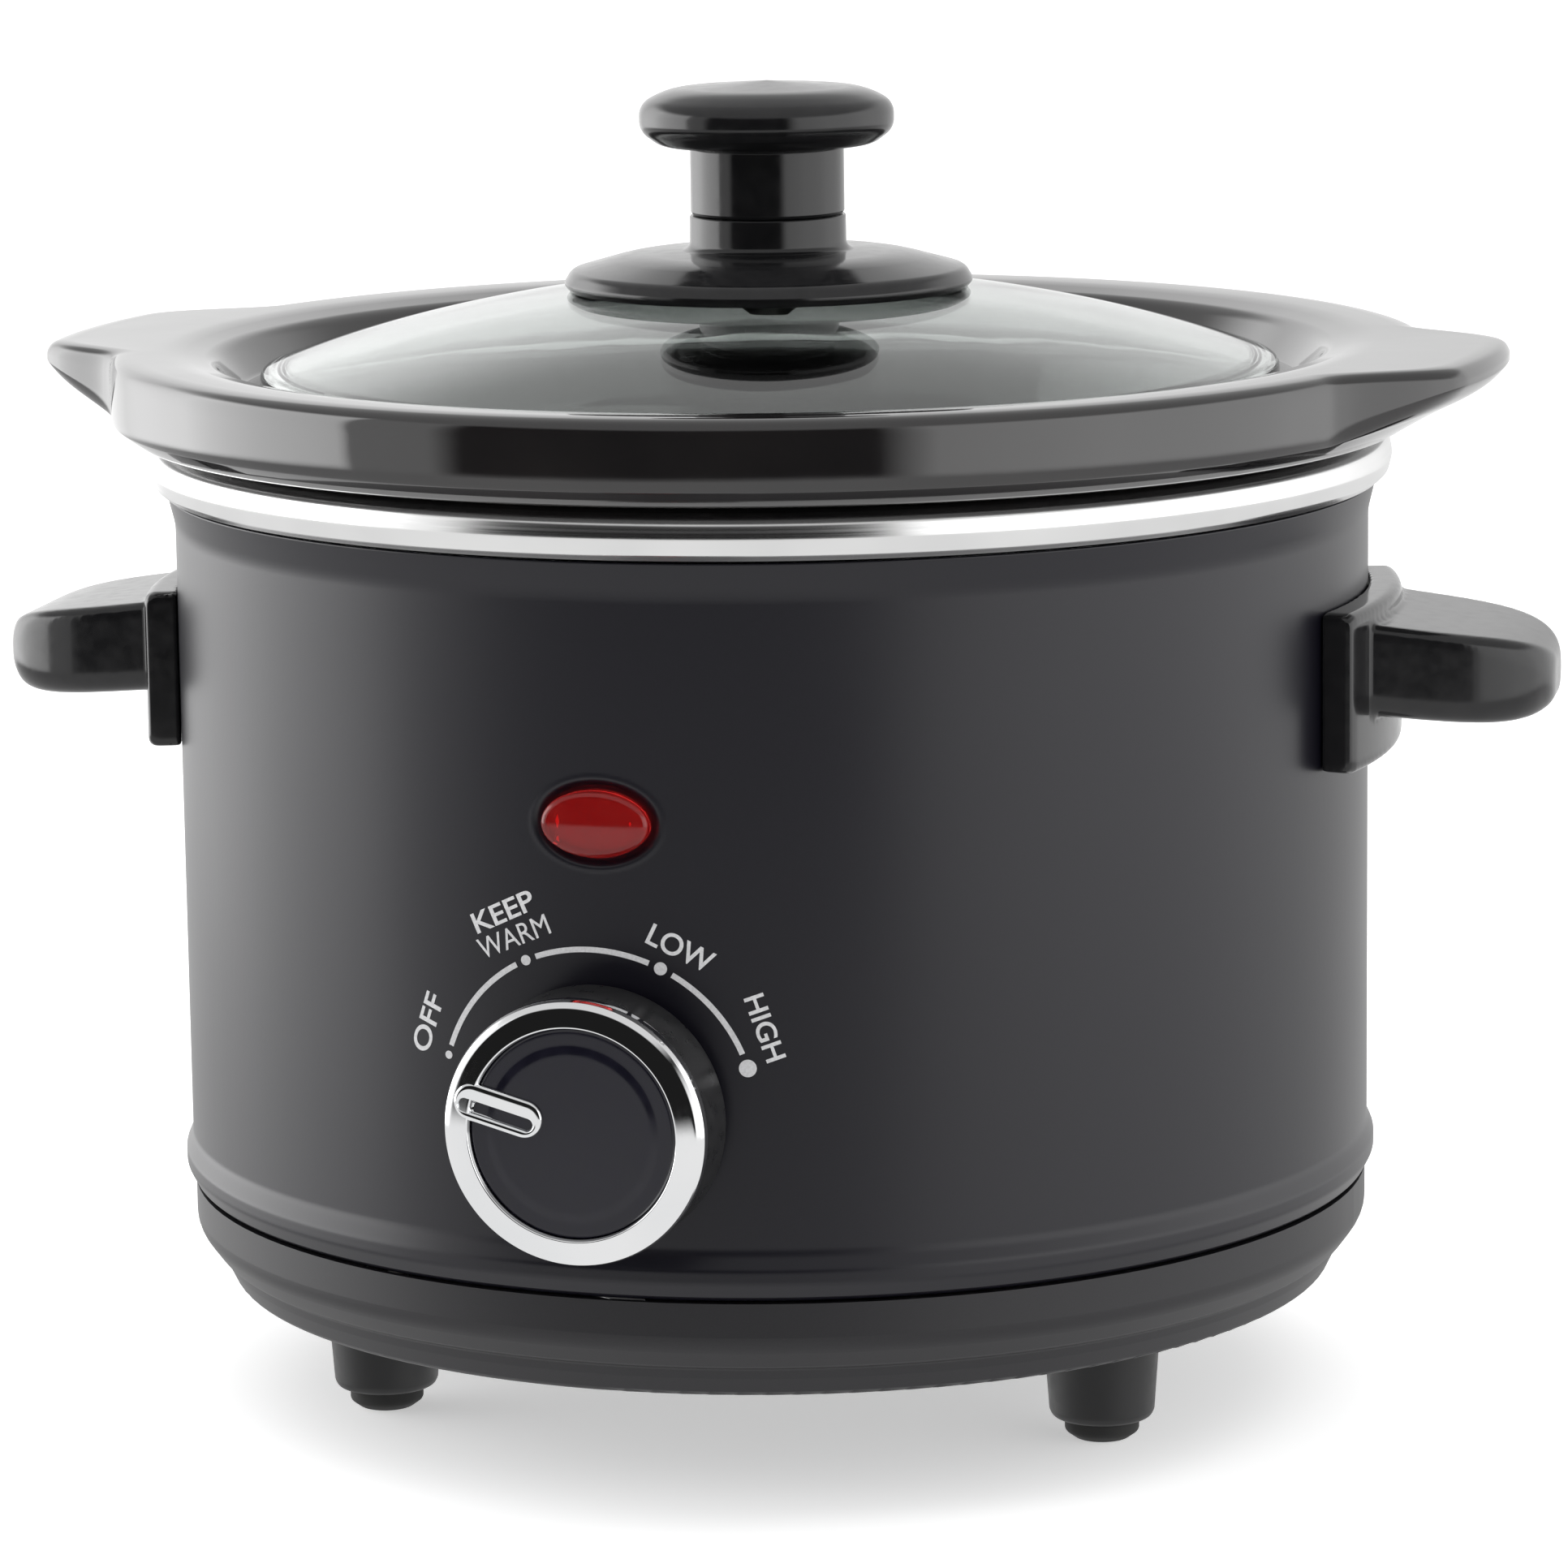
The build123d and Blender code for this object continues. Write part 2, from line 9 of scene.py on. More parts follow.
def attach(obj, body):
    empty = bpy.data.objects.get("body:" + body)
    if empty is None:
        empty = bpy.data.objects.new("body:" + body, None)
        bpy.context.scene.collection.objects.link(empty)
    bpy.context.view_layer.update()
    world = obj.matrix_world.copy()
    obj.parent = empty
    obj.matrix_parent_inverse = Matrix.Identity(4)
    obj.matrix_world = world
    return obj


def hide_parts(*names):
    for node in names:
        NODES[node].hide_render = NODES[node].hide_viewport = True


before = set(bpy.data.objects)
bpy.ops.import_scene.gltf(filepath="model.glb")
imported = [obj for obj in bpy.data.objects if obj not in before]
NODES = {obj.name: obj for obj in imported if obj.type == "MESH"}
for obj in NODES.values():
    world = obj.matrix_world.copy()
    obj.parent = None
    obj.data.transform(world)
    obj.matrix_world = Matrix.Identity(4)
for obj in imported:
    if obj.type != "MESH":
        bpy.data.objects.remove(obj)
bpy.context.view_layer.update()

MM = 0.001

# ------------------------------------------------------------------ camera
# The front of the cooker is turned 16.2 degrees to the camera's left.
TURN = math.radians(16.2)
YAW, PITCH, ROLL = 0.0013, 0.1795, -0.0134
DIST, CAM_Z = 1043.35 * MM, 285.8 * MM


def about_z(v, a):
    c, s = math.cos(a), math.sin(a)
    return Vector((v[0] * c - v[1] * s, v[0] * s + v[1] * c, v[2]))


fwd = Vector((math.sin(YAW) * math.cos(PITCH), math.cos(YAW) * math.cos(PITCH), -math.sin(PITCH)))
right = Vector((math.cos(YAW), -math.sin(YAW), 0.0))
up = right.cross(fwd)
r2 = math.cos(ROLL) * right + math.sin(ROLL) * up
u2 = -math.sin(ROLL) * right + math.cos(ROLL) * up
r2, u2, f2 = about_z(r2, TURN), about_z(u2, TURN), about_z(fwd, TURN)
loc = about_z((0, -DIST, CAM_Z), TURN)
cam_data = bpy.data.cameras.new("camera")
cam_data.sensor_width = 36.0
cam_data.lens = 8110.0 / 1932.0 * 36.0
cam = bpy.data.objects.new("camera", cam_data)
bpy.context.scene.collection.objects.link(cam)
cam.matrix_world = Matrix(((r2.x, u2.x, -f2.x, loc.x), (r2.y, u2.y, -f2.y, loc.y), (r2.z, u2.z, -f2.z, loc.z), (0, 0, 0, 1)))
bpy.context.scene.camera = cam
bpy.context.scene.view_settings.view_transform = "Standard"
bpy.context.scene.view_settings.look = "None"


# ------------------------------------------------------------------ materials
def new_mat(name):
    m = bpy.data.materials.new(name)
    m.use_nodes = True
    nt = m.node_tree
    b = nt.nodes["Principled BSDF"]
    tc = nt.nodes.new("ShaderNodeTexCoord")
    return m, nt, b, tc.outputs["Object"]


def noise(nt, vec, scale, detail=3.0, rough=0.5, stretch=None):
    if stretch:
        mp = nt.nodes.new("ShaderNodeMapping")
        mp.inputs["Scale"].default_value = stretch
        nt.links.new(vec, mp.inputs["Vector"])
        vec = mp.outputs["Vector"]
    n = nt.nodes.new("ShaderNodeTexNoise")
    n.inputs["Scale"].default_value = scale
    n.inputs["Detail"].default_value = detail
    n.inputs["Roughness"].default_value = rough
    nt.links.new(vec, n.inputs["Vector"])
    return n.outputs["Fac"]


def turned_vec(nt, vec, centre=(0, 0, 0), axis="Z"):
    """(radius, height, 0) about an axis, for marks that run round a turned part."""
    sub = nt.nodes.new("ShaderNodeVectorMath"); sub.operation = "SUBTRACT"
    sub.inputs[1].default_value = centre
    nt.links.new(vec, sub.inputs[0])
    sp = nt.nodes.new("ShaderNodeSeparateXYZ")
    nt.links.new(sub.outputs[0], sp.inputs[0])
    a, b, h = ("X", "Y", "Z") if axis == "Z" else ("X", "Z", "Y")
    cb = nt.nodes.new("ShaderNodeCombineXYZ")
    nt.links.new(sp.outputs[a], cb.inputs[0]); nt.links.new(sp.outputs[b], cb.inputs[1])
    ln = nt.nodes.new("ShaderNodeVectorMath"); ln.operation = "LENGTH"
    nt.links.new(cb.outputs[0], ln.inputs[0])
    out = nt.nodes.new("ShaderNodeCombineXYZ")
    nt.links.new(ln.outputs["Value"], out.inputs[0]); nt.links.new(sp.outputs[h], out.inputs[1])
    return out.outputs[0]


def ramp(nt, fac, c0, c1, p0=0.3, p1=0.7):
    r = nt.nodes.new("ShaderNodeValToRGB")
    r.color_ramp.elements[0].position, r.color_ramp.elements[1].position = p0, p1
    r.color_ramp.elements[0].color = (*c0, 1)
    r.color_ramp.elements[1].color = (*c1, 1)
    nt.links.new(fac, r.inputs["Fac"])
    return r.outputs["Color"]


def span(nt, fac, lo, hi, f0=0.3, f1=0.7):
    mr = nt.nodes.new("ShaderNodeMapRange")
    mr.inputs["From Min"].default_value, mr.inputs["From Max"].default_value = f0, f1
    mr.inputs["To Min"].default_value, mr.inputs["To Max"].default_value = lo, hi
    nt.links.new(fac, mr.inputs["Value"])
    return mr.outputs["Result"]


def bump(nt, fac, dist, strength=1.0, normal=None):
    b = nt.nodes.new("ShaderNodeBump")
    b.inputs["Distance"].default_value = dist
    b.inputs["Strength"].default_value = strength
    nt.links.new(fac, b.inputs["Height"])
    if normal is not None:
        nt.links.new(normal, b.inputs["Normal"])
    return b.outputs["Normal"]


def put(nt, bsdf, color=None, rough=None, normal=None):
    if color is not None:
        nt.links.new(color, bsdf.inputs["Base Color"])
    if rough is not None:
        nt.links.new(rough, bsdf.inputs["Roughness"])
    if normal is not None:
        nt.links.new(normal, bsdf.inputs["Normal"])


def paint(name, c0, c1, r0, r1, ior=1.5):
    """Satin stoved coating on sheet metal: fine orange peel, slow sheen variation, tiny specks."""
    m, nt, b, v = new_mat(name)
    slow = noise(nt, v, 14.0, 2.0)
    peel = noise(nt, v, 950.0, 2.0, 0.55)
    fine = noise(nt, v, 5200.0, 2.0, 0.6)
    rgh = span(nt, slow, r0, r1)
    n = bump(nt, peel, 0.00001, 0.55)
    n = bump(nt, fine, 0.000004, 0.5, n)
    put(nt, b, ramp(nt, fine, c0, c1, 0.35, 0.75), rgh, n)
    b.inputs["IOR"].default_value = ior
    return m


def moulded(name, c0, c1, r0, r1, grain=0.0, wave=0.00002, ior=1.5):
    """Moulded plastic: slow sink waviness, scuff variation in gloss, optional spark-eroded grain."""
    m, nt, b, v = new_mat(name)
    slow = noise(nt, v, 60.0, 2.0)
    mid = noise(nt, v, 420.0, 3.0)
    n = bump(nt, slow, wave, 0.6)
    if grain:
        n = bump(nt, noise(nt, v, 3800.0, 2.0), grain, 0.8, n)
    put(nt, b, ramp(nt, mid, c0, c1), span(nt, mid, r0, r1), n)
    b.inputs["IOR"].default_value = ior
    return m


def metal(name, c0, c1, r0, r1, turned=None, line=0.000004, scale=2600.0):
    """Bare metal; turned=(centre, axis) gives fine marks that run round the axis."""
    m, nt, b, v = new_mat(name)
    vec = turned_vec(nt, v, *turned) if turned else v
    lines = noise(nt, vec, scale, 2.0, 0.6)
    slow = noise(nt, v, 45.0, 2.0)
    put(nt, b, ramp(nt, slow, c0, c1), span(nt, lines, r0, r1), bump(nt, lines, line, 0.6))
    b.inputs["Metallic"].default_value = 1.0
    return m


M = {}
M["shell"] = paint("satin_charcoal_coating", (0.0042, 0.0038, 0.0078), (0.0064, 0.0058, 0.0110), 0.30, 0.36)
M["pan"] = paint("satin_charcoal_pan", (0.0085, 0.0080, 0.0105), (0.0130, 0.0124, 0.0150), 0.36, 0.44)
M["steel"] = metal("polished_rolled_rim", (0.80, 0.80, 0.80), (0.90, 0.90, 0.895), 0.16, 0.26, ((0, 0, 0), "Z"), 0.000002, 3000.0)
M["chrome"] = metal("chrome_plate", (0.86, 0.87, 0.88), (0.93, 0.93, 0.935), 0.035, 0.075, None, 0.0000004, 900.0)
M["phenolic"] = moulded("gloss_black_phenolic", (0.0075, 0.0075, 0.0082), (0.0115, 0.0113, 0.0120), 0.10, 0.17)
M["skirt"] = moulded("knob_skirt_black", (0.012, 0.012, 0.013), (0.020, 0.020, 0.021), 0.26, 0.34, 0.000003)
M["insert"] = moulded("knob_insert_navy_black", (0.0050, 0.0048, 0.0095), (0.0080, 0.0075, 0.0140), 0.12, 0.18)
M["foot"] = moulded("foot_black_plastic", (0.005, 0.005, 0.0055), (0.010, 0.010, 0.011), 0.42, 0.55, 0.000008)
M["pad"] = moulded("pad_rubber_black", (0.012, 0.012, 0.012), (0.024, 0.024, 0.023), 0.72, 0.88, 0.000012)
M["zinc"] = metal("zinc_plated", (0.52, 0.52, 0.50), (0.66, 0.65, 0.61), 0.30, 0.46)
M["nylon"] = moulded("switch_nylon_dark", (0.05, 0.05, 0.05), (0.08, 0.08, 0.08), 0.45, 0.58, 0.000006)
M["block"] = moulded("block_nylon_natural", (0.78, 0.77, 0.70), (0.86, 0.85, 0.79), 0.45, 0.60, 0.000004)
M["brass"] = metal("terminal_brass", (0.70, 0.52, 0.24), (0.80, 0.62, 0.32), 0.24, 0.38)
M["foil"] = metal("heater_foil", (0.72, 0.72, 0.70), (0.84, 0.84, 0.82), 0.22, 0.42, None, 0.00003, 300.0)
for key, c in (("wire_black", (0.015, 0.015, 0.015)), ("wire_red", (0.45, 0.02, 0.015)), ("wire_yellow", (0.62, 0.45, 0.05)), ("wire_white", (0.78, 0.77, 0.72))):
    M[key] = moulded("sleeve_" + key, tuple(x * 0.85 for x in c), tuple(min(1, x * 1.1) for x in c), 0.38, 0.5, 0.000005)

# glass-fibre blanket
m, nt, b, v = new_mat("glass_fibre_blanket")
fib = noise(nt, v, 900.0, 6.0, 0.7, (1.0, 1.0, 4.0))
put(nt, b, ramp(nt, fib, (0.62, 0.58, 0.44), (0.84, 0.81, 0.70)), span(nt, fib, 0.85, 1.0), bump(nt, fib, 0.0003, 0.9))
M["wool"] = m

# fired black glaze: mirror-like, with the slow ripple and faint pinholes of dipped stoneware
m, nt, b, v = new_mat("gloss_black_glaze")
wave = noise(nt, v, 22.0, 1.5, 0.45)
rip = noise(nt, v, 95.0, 2.0, 0.5)
pit = noise(nt, v, 1400.0, 1.0, 0.4)
tone = noise(nt, v, 30.0, 3.0)
n = bump(nt, wave, 0.0011, 0.30)
n = bump(nt, rip, 0.00007, 0.30, n)
n = bump(nt, pit, 0.000002, 0.35, n)
put(nt, b, ramp(nt, tone, (0.0065, 0.0060, 0.0065), (0.0125, 0.0112, 0.0112)), span(nt, rip, 0.035, 0.075), n)
b.inputs["IOR"].default_value = 1.62
b.inputs["Coat Weight"].default_value = 0.35
b.inputs["Coat Roughness"].default_value = 0.02
b.inputs["Coat IOR"].default_value = 1.6
M["glaze"] = m

# pressed glass: faint green, slight mould waviness, clean
m, nt, b, v = new_mat("lid_glass_green_tint")
wv = noise(nt, v, 38.0, 1.5)
sm = noise(nt, v, 160.0, 4.0)
put(nt, b, ramp(nt, wv, (0.675, 0.715, 0.695), (0.715, 0.750, 0.732)), span(nt, sm, 0.0, 0.025), bump(nt, wv, 0.00012, 0.35))
b.inputs["Transmission Weight"].default_value = 1.0
b.inputs["IOR"].default_value = 1.5
M["glass"] = m

# translucent red lens, and the ribbed reflector behind it, which carries a painted glow (faint red emission) though it
# is no lamp
m, nt, b, v = new_mat("lens_red_clear")
w1 = noise(nt, v, 500.0, 2.0)
put(nt, b, ramp(nt, w1, (0.86, 0.030, 0.030), (0.95, 0.050, 0.045)), span(nt, w1, 0.04, 0.09), bump(nt, w1, 0.00001, 0.4))
b.inputs["Transmission Weight"].default_value = 0.9
b.inputs["IOR"].default_value = 1.49
M["lens"] = m
m, nt, b, v = new_mat("lens_red_ribs_painted_glow")
w1 = noise(nt, v, 260.0, 3.0)
put(nt, b, ramp(nt, w1, (0.52, 0.010, 0.012), (0.80, 0.035, 0.030)), span(nt, w1, 0.18, 0.34), None)
# painted glow: the reflector ribs emit a faint red light of their own
nt.links.new(ramp(nt, w1, (0.55, 0.010, 0.010), (0.80, 0.030, 0.020)), b.inputs["Emission Color"])
b.inputs["Emission Strength"].default_value = 0.20
M["ribs"] = m

# pale grey screen print
m, nt, b, v = new_mat("screen_print_grey")
w1 = noise(nt, v, 2600.0, 3.0)
put(nt, b, ramp(nt, w1, (0.54, 0.54, 0.55), (0.66, 0.66, 0.67)), span(nt, w1, 0.42, 0.56), bump(nt, w1, 0.000003, 0.4))
M["print"] = m

CAD_MATS = {
    "base_pan": "pan", "heater_band": "foil", "insulation_wrap": "wool", "band_straps": "zinc", "centre_stud": "zinc",
    "centre_washer": "zinc", "centre_nut": "zinc", "foot_screws": "zinc", "handle_screws": "zinc", "lens_retainer": "zinc",
    "neon_lamp": "block", "rotary_switch": "nylon", "switch_nut": "zinc", "switch_terminals": "brass", "switch_shaft": "nylon",
    "knob_spring_ring": "zinc", "cord_gland": "foot", "terminal_block": "block", "terminal_screws": "zinc",
    "wire_live": "wire_black", "wire_heater_low": "wire_red", "wire_heater_high": "wire_yellow", "wire_neutral": "wire_white",
    "lamp_leads": "wire_white", "thermal_fuse": "zinc", "fuse_clip": "zinc", "lid_washer": "pad", "lid_screw": "zinc",
    "outer_shell": "shell", "heating_well": "steel", "crock": "glaze", "lid_glass": "glass", "lid_collar": "phenolic",
    "lid_knob": "phenolic", "handle_left": "phenolic", "handle_right": "phenolic", "knob_body": "skirt", "knob_bezel": "chrome",
    "knob_insert": "insert", "indicator_lens": "lens", "foot_pads": "pad", "foot_front_left": "foot", "foot_front_right": "foot", "foot_rear": "foot",
}
for name, key in CAD_MATS.items():
    if name in NODES:
        o = NODES[name]
        o.data.materials.clear()
        o.data.materials.append(M[key])


# ------------------------------------------------------------------ mesh code
def corner_points(points, closed=True, step=2.5, arc_step=9.0):
    """Outline through (a, b[, radius]) corners, with the arcs and the straight runs sampled finely."""
    pts = [(p[0], p[1], p[2] if len(p) > 2 else 0.0) for p in points]
    n = len(pts)
    out = []
    for i in range(n):
        bx, by, r = pts[i]
        if not closed and i in (0, n - 1):
            out.append([(bx, by)])
            continue
        ax, ay, _ = pts[i - 1]
        cx, cy, _ = pts[(i + 1) % n]
        ux, uy, wx, wy = ax - bx, ay - by, cx - bx, cy - by
        lu, lw = math.hypot(ux, uy), math.hypot(wx, wy)
        ux, uy, wx, wy = ux / lu, uy / lu, wx / lw, wy / lw
        ang = math.acos(max(-1, min(1, ux * wx + uy * wy)))
        if r <= 0 or abs(math.pi - ang) < 1e-3:
            if r <= 0 and abs(math.pi - ang) > 0.3:
                r = min(0.12, 0.2 * min(lu, lw))
            else:
                out.append([(bx, by)])
                continue
        d = r / math.tan(ang / 2)
        hx, hy = ux + wx, uy + wy
        lh = math.hypot(hx, hy)
        hx, hy = hx / lh, hy / lh
        cxx, cyy = bx + hx * r / math.sin(ang / 2), by + hy * r / math.sin(ang / 2)
        p0 = (bx + ux * d, by + uy * d)
        p1 = (bx + wx * d, by + wy * d)
        a0 = math.atan2(p0[1] - cyy, p0[0] - cxx)
        a1 = math.atan2(p1[1] - cyy, p1[0] - cxx)
        da = (a1 - a0 + math.pi) % (2 * math.pi) - math.pi
        k = max(2, int(math.ceil(abs(math.degrees(da)) / arc_step)))
        out.append([(cxx + r * math.cos(a0 + da * j / k), cyy + r * math.sin(a0 + da * j / k)) for j in range(k + 1)])
    res = []
    for i in range(n):
        res.extend(out[i])
        if not closed and i == n - 1:
            break
        a, b = out[i][-1], out[(i + 1) % n][0]
        length = math.hypot(b[0] - a[0], b[1] - a[1])
        if length > 0.5:
            k = max(1, int(math.ceil(length / step)))
            ts = sorted(set([min(0.3 / length, 0.25)] + [j / k for j in range(1, k)] + [1 - min(0.3 / length, 0.25)]))
            for t in ts:
                res.append((a[0] + (b[0] - a[0]) * t, a[1] + (b[1] - a[1]) * t))
    clean = []
    for p in res:
        if not clean or math.hypot(p[0] - clean[-1][0], p[1] - clean[-1][1]) > 1e-4:
            clean.append(p)
    if closed and math.hypot(clean[0][0] - clean[-1][0], clean[0][1] - clean[-1][1]) < 1e-4:
        clean.pop()
    return clean


def mesh_object(name, verts, faces, mat, body=None, nodes=(), sharp=None):
    me = bpy.data.meshes.new(name)
    me.from_pydata([tuple(c * MM for c in v) for v in verts], [], faces)
    bm = bmesh.new()
    bm.from_mesh(me)
    bmesh.ops.remove_doubles(bm, verts=bm.verts, dist=1e-7)
    bmesh.ops.recalc_face_normals(bm, faces=bm.faces)
    bm.to_mesh(me)
    bm.free()
    me.polygons.foreach_set("use_smooth", [True] * len(me.polygons))
    if sharp:
        me.set_sharp_from_angle(angle=math.radians(sharp))
    me.materials.append(M[mat] if isinstance(mat, str) else mat)
    o = bpy.data.objects.new(name, me)
    bpy.context.scene.collection.objects.link(o)
    if body:
        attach(o, body)
        if nodes:
            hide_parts(*nodes)
    return o


def lathe_grid(profiles, angles, place):
    """profiles[i] is the outline at angles[i]; all closed the same way. A radius of zero is one shared pole."""
    verts, index = [], []
    poles = {}
    for i, a in enumerate(angles):
        row = []
        for j, (r, h) in enumerate(profiles[i]):
            if r < 1e-6:
                if j not in poles:
                    poles[j] = len(verts)
                    verts.append(place(0.0, h, a))
                row.append(poles[j])
            else:
                row.append(len(verts))
                verts.append(place(r, h, a))
        index.append(row)
    return verts, index


def lathe_faces(index, closed_profile):
    faces = []
    n = len(index)
    m = len(index[0])
    for i in range(n):
        a, b = index[i], index[(i + 1) % n]
        for j in range(m if closed_profile else m - 1):
            k = (j + 1) % m
            f = []
            for q in (a[j], a[k], b[k], b[j]):
                if q not in f:
                    f.append(q)
            if len(f) > 2:
                faces.append(f)
    return faces


def about_axis(r, h, a):
    """Angle from the front (-Y), positive to +X."""
    return (r * math.sin(a), -r * math.cos(a), h)


def turned(name, profile, mat, body, nodes=(), slot=None, segs=240, closed=True, place=about_axis, step=2.5, sharp=None, arc_step=9.0):
    prof = corner_points(profile, closed, step, arc_step)
    angles = [2 * math.pi * i / segs for i in range(segs)]
    verts, index = lathe_grid([prof] * segs, angles, place)
    return mesh_object(name, verts, lathe_faces(index, closed), mat, body, nodes, sharp)


# ------------------------------------------------------------------ outer shell with the pressed lens recess
t = 0.9
outer_line = [(94.2, 35.5), (95.0, 36.2, 0.6), (96.1, 38.3, 1.6), (96.1, 40.4, 1.6), (95.0, 42.9, 3), (95.0, 141.5, 8), (96.2, 146.5)]
prof = corner_points(outer_line, False, 2.0)
fine = []
for p, q in zip(prof, prof[1:]):
    fine.append(p)
    if 98 < p[1] < 117:
        k = 5
        fine += [(p[0] + (q[0] - p[0]) * i / k, p[1] + (q[1] - p[1]) * i / k) for i in range(1, k)]
fine.append(prof[-1])
back = [(r - t, z) for r, z in reversed(fine)]
angles = []
a = -180.0
while a < 180.0 - 1e-6:
    angles.append(math.radians(a))
    a += 0.25 if -8.0 - 1e-6 <= a < 8.0 - 1e-6 else 1.0
LENS_Z = 107.5


def dish(s, z):
    """Depth of the pressed oval at arc position s and height z."""
    d = math.hypot(s / 9.7, (z - LENS_Z) / 6.6)
    u = min(1.0, max(0.0, (1.0 - d) / 0.19))
    u = u * u * (3 - 2 * u)
    lip = math.exp(-((d - 1.035) / 0.035) ** 2) * 0.10
    return 1.25 * u - lip


rows = []
for a in angles:
    s = a * 95.0
    rows.append([(r - (dish(s, z) if abs(s) < 14 else 0.0), z) for r, z in fine] + [(r - (dish(s, z) if abs(s) < 14 else 0.0), z) for r, z in back])
verts, index = lathe_grid(rows, angles, about_axis)
mesh_object("outer_shell_painted", verts, lathe_faces(index, True), "shell", "base_unit", ["outer_shell"])

# ------------------------------------------------------------------ bright rim and well
w_out = [(96.9, 146.9), (98.2, 148.0, 1.2), (98.8, 150.4, 2.0), (98.3, 153.0, 1.8), (95.6, 154.4, 2.2),
         (90.0, 154.4, 2), (86.0, 153.6, 2), (80.5, 153.6, 3.0), (80.5, 54.0, 12.0), (0, 54.0)]
w_in = [(0, 53.2), (81.3, 53.2, 12.8), (81.3, 152.8, 2.2), (86.1, 152.8, 2), (90.0, 153.6, 2), (95.3, 153.6, 1.4),
        (97.6, 152.5, 1.0), (98.0, 150.4, 1.2), (97.5, 148.4, 0.6), (96.4, 147.5)]
turned("heating_well_polished", w_out + w_in, "steel", "base_unit", ["heating_well"], "steel_polished", 288)

# ------------------------------------------------------------------ stoneware crock
LUG_FLAT, LUG_HALF = 9.5, 20.5


def zu(r):
    for (r0, z0), (r1, z1) in (((100.6, 155.0), (104.7, 158.2)), ((104.7, 158.2), (112.0, 161.4)), ((112.0, 161.4), (117.4, 164.0))):
        if r <= r1 or r1 > 117:
            return z0 + (z1 - z0) * (r - r0) / (r1 - r0)


def chaikin(pts, n):
    for _ in range(n):
        new = [pts[0]]
        for p, q in zip(pts, pts[1:]):
            new.append((0.75 * p[0] + 0.25 * q[0], 0.75 * p[1] + 0.25 * q[1]))
            new.append((0.25 * p[0] + 0.75 * q[0], 0.25 * p[1] + 0.75 * q[1]))
        new.append(pts[-1])
        pts = new
    return pts


low = corner_points([(0, 56.6), (60.0, 56.6, 0.5), (60.4, 55.6, 0.3), (74.5, 55.6, 10), (78.3, 148.0, 40), (79.2, 154.8, 0.8), (96.0, 155.0)], False, 4.0)
cut = corner_points([(98.0, 168.6), (94.5, 168.45, 20), (88.4, 167.3, 3.0), (84.6, 162.0, 1.6), (82.6, 161.4, 0.8), (76.2, 161.4, 2.2),
                     (72.6, 150.5, 12), (69.0, 62.5, 12), (0, 62.5)], False, 4.0)
SEG = 540
rows, angles = [], []
for i in range(SEG):
    a = 2 * math.pi * i / SEG
    d = math.degrees(math.acos(min(1.0, abs(math.sin(a)))))
    u = max(0.0, min(1.0, (LUG_HALF - d) / (LUG_HALF - LUG_FLAT)))
    R = 104.6 + 12.6 * u * u * (3 - 2 * u)
    e = R - 104.6
    zr = zu(R)
    ctrl = [(96.6, 155.0), (100.2, 155.0), (102.6, zu(102.6)), (104.2 + 0.35 * e, zu(104.2 + 0.35 * e)), (104.45 + 0.8 * e, zu(104.45 + 0.8 * e) + 0.1),
            (R, zr + 1.5), (R, 0.5 * (zr + 1.5) + 0.5 * 166.6), (R - 0.05, 166.9), (R - 1.0, 168.25), (R - 3.0, 168.62), (R - 5.6, 168.6)]
    rim = chaikin(ctrl, 3)
    rows.append(low[:-1] + rim + cut[1:] if R - 5.6 > 98.2 else low[:-1] + rim + cut[1:])
    angles.append(a)
verts, index = lathe_grid(rows, angles, about_axis)
mesh_object("crock_glazed", verts, lathe_faces(index, False), "glaze", "crock", ["crock"])

# ------------------------------------------------------------------ lid
SPH, LID_R, EDGE_Z, GT = 246.5, 81.0, 165.0, 3.5
zc = EDGE_Z - math.sqrt(SPH ** 2 - LID_R ** 2)


def dome(r, s=SPH):
    return zc + math.sqrt(s * s - r * r)


top = [(r, dome(r)) for r in np.linspace(3.3, 79.2, 44)]
lip = chaikin([(79.2, dome(79.2)), (80.4, dome(80.4)), (81.0, 164.4), (81.0, 163.4), (81.0, 162.6), (80.7, 161.85), (79.6, 161.7), (78.6, 161.72), (77.9, 162.0), (77.0, dome(77.0, SPH - GT))], 3)
bot = [(r, dome(r, SPH - GT)) for r in np.linspace(77.0, 3.3, 44)]
prof = [tuple(map(float, p)) for p in top + lip[1:-1] + bot]
angles = [2 * math.pi * i / 288 for i in range(288)]
verts, index = lathe_grid([prof] * 288, angles, about_axis)
mesh_object("lid_glass_dome", verts, lathe_faces(index, True), "glass", "lid", ["lid_glass"], 60)

turned("lid_collar_gloss", [(2.6, 179.0), (6.0, 179.0), (28.0, dome(28) + 0.25), (31.6, dome(31.6) + 0.15, 0.3), (32.6, 177.9, 0.8), (31.4, 179.9, 1.8),
                            (22.5, 182.4, 25), (12.45, 183.0, 1.5), (12.4, 188.4, 0.3), (2.6, 188.4)],
       "phenolic", "lid", ["lid_collar"], "phenolic", 240, step=1.2, arc_step=6)
turned("lid_knob_gloss", [(0, 201.5), (2.35, 201.5), (2.35, 188.5), (11.9, 188.5, 0.2), (12.2, 189.0, 0.2), (12.2, 199.4, 0.6), (17.0, 199.5, 4.0), (20.2, 201.9, 3.0),
                          (20.2, 206.0, 3.0), (16.0, 208.35, 12), (0, 209.6)],
       "phenolic", "lid", ["lid_knob"], "phenolic", 240, closed=False, step=1.2, arc_step=6)
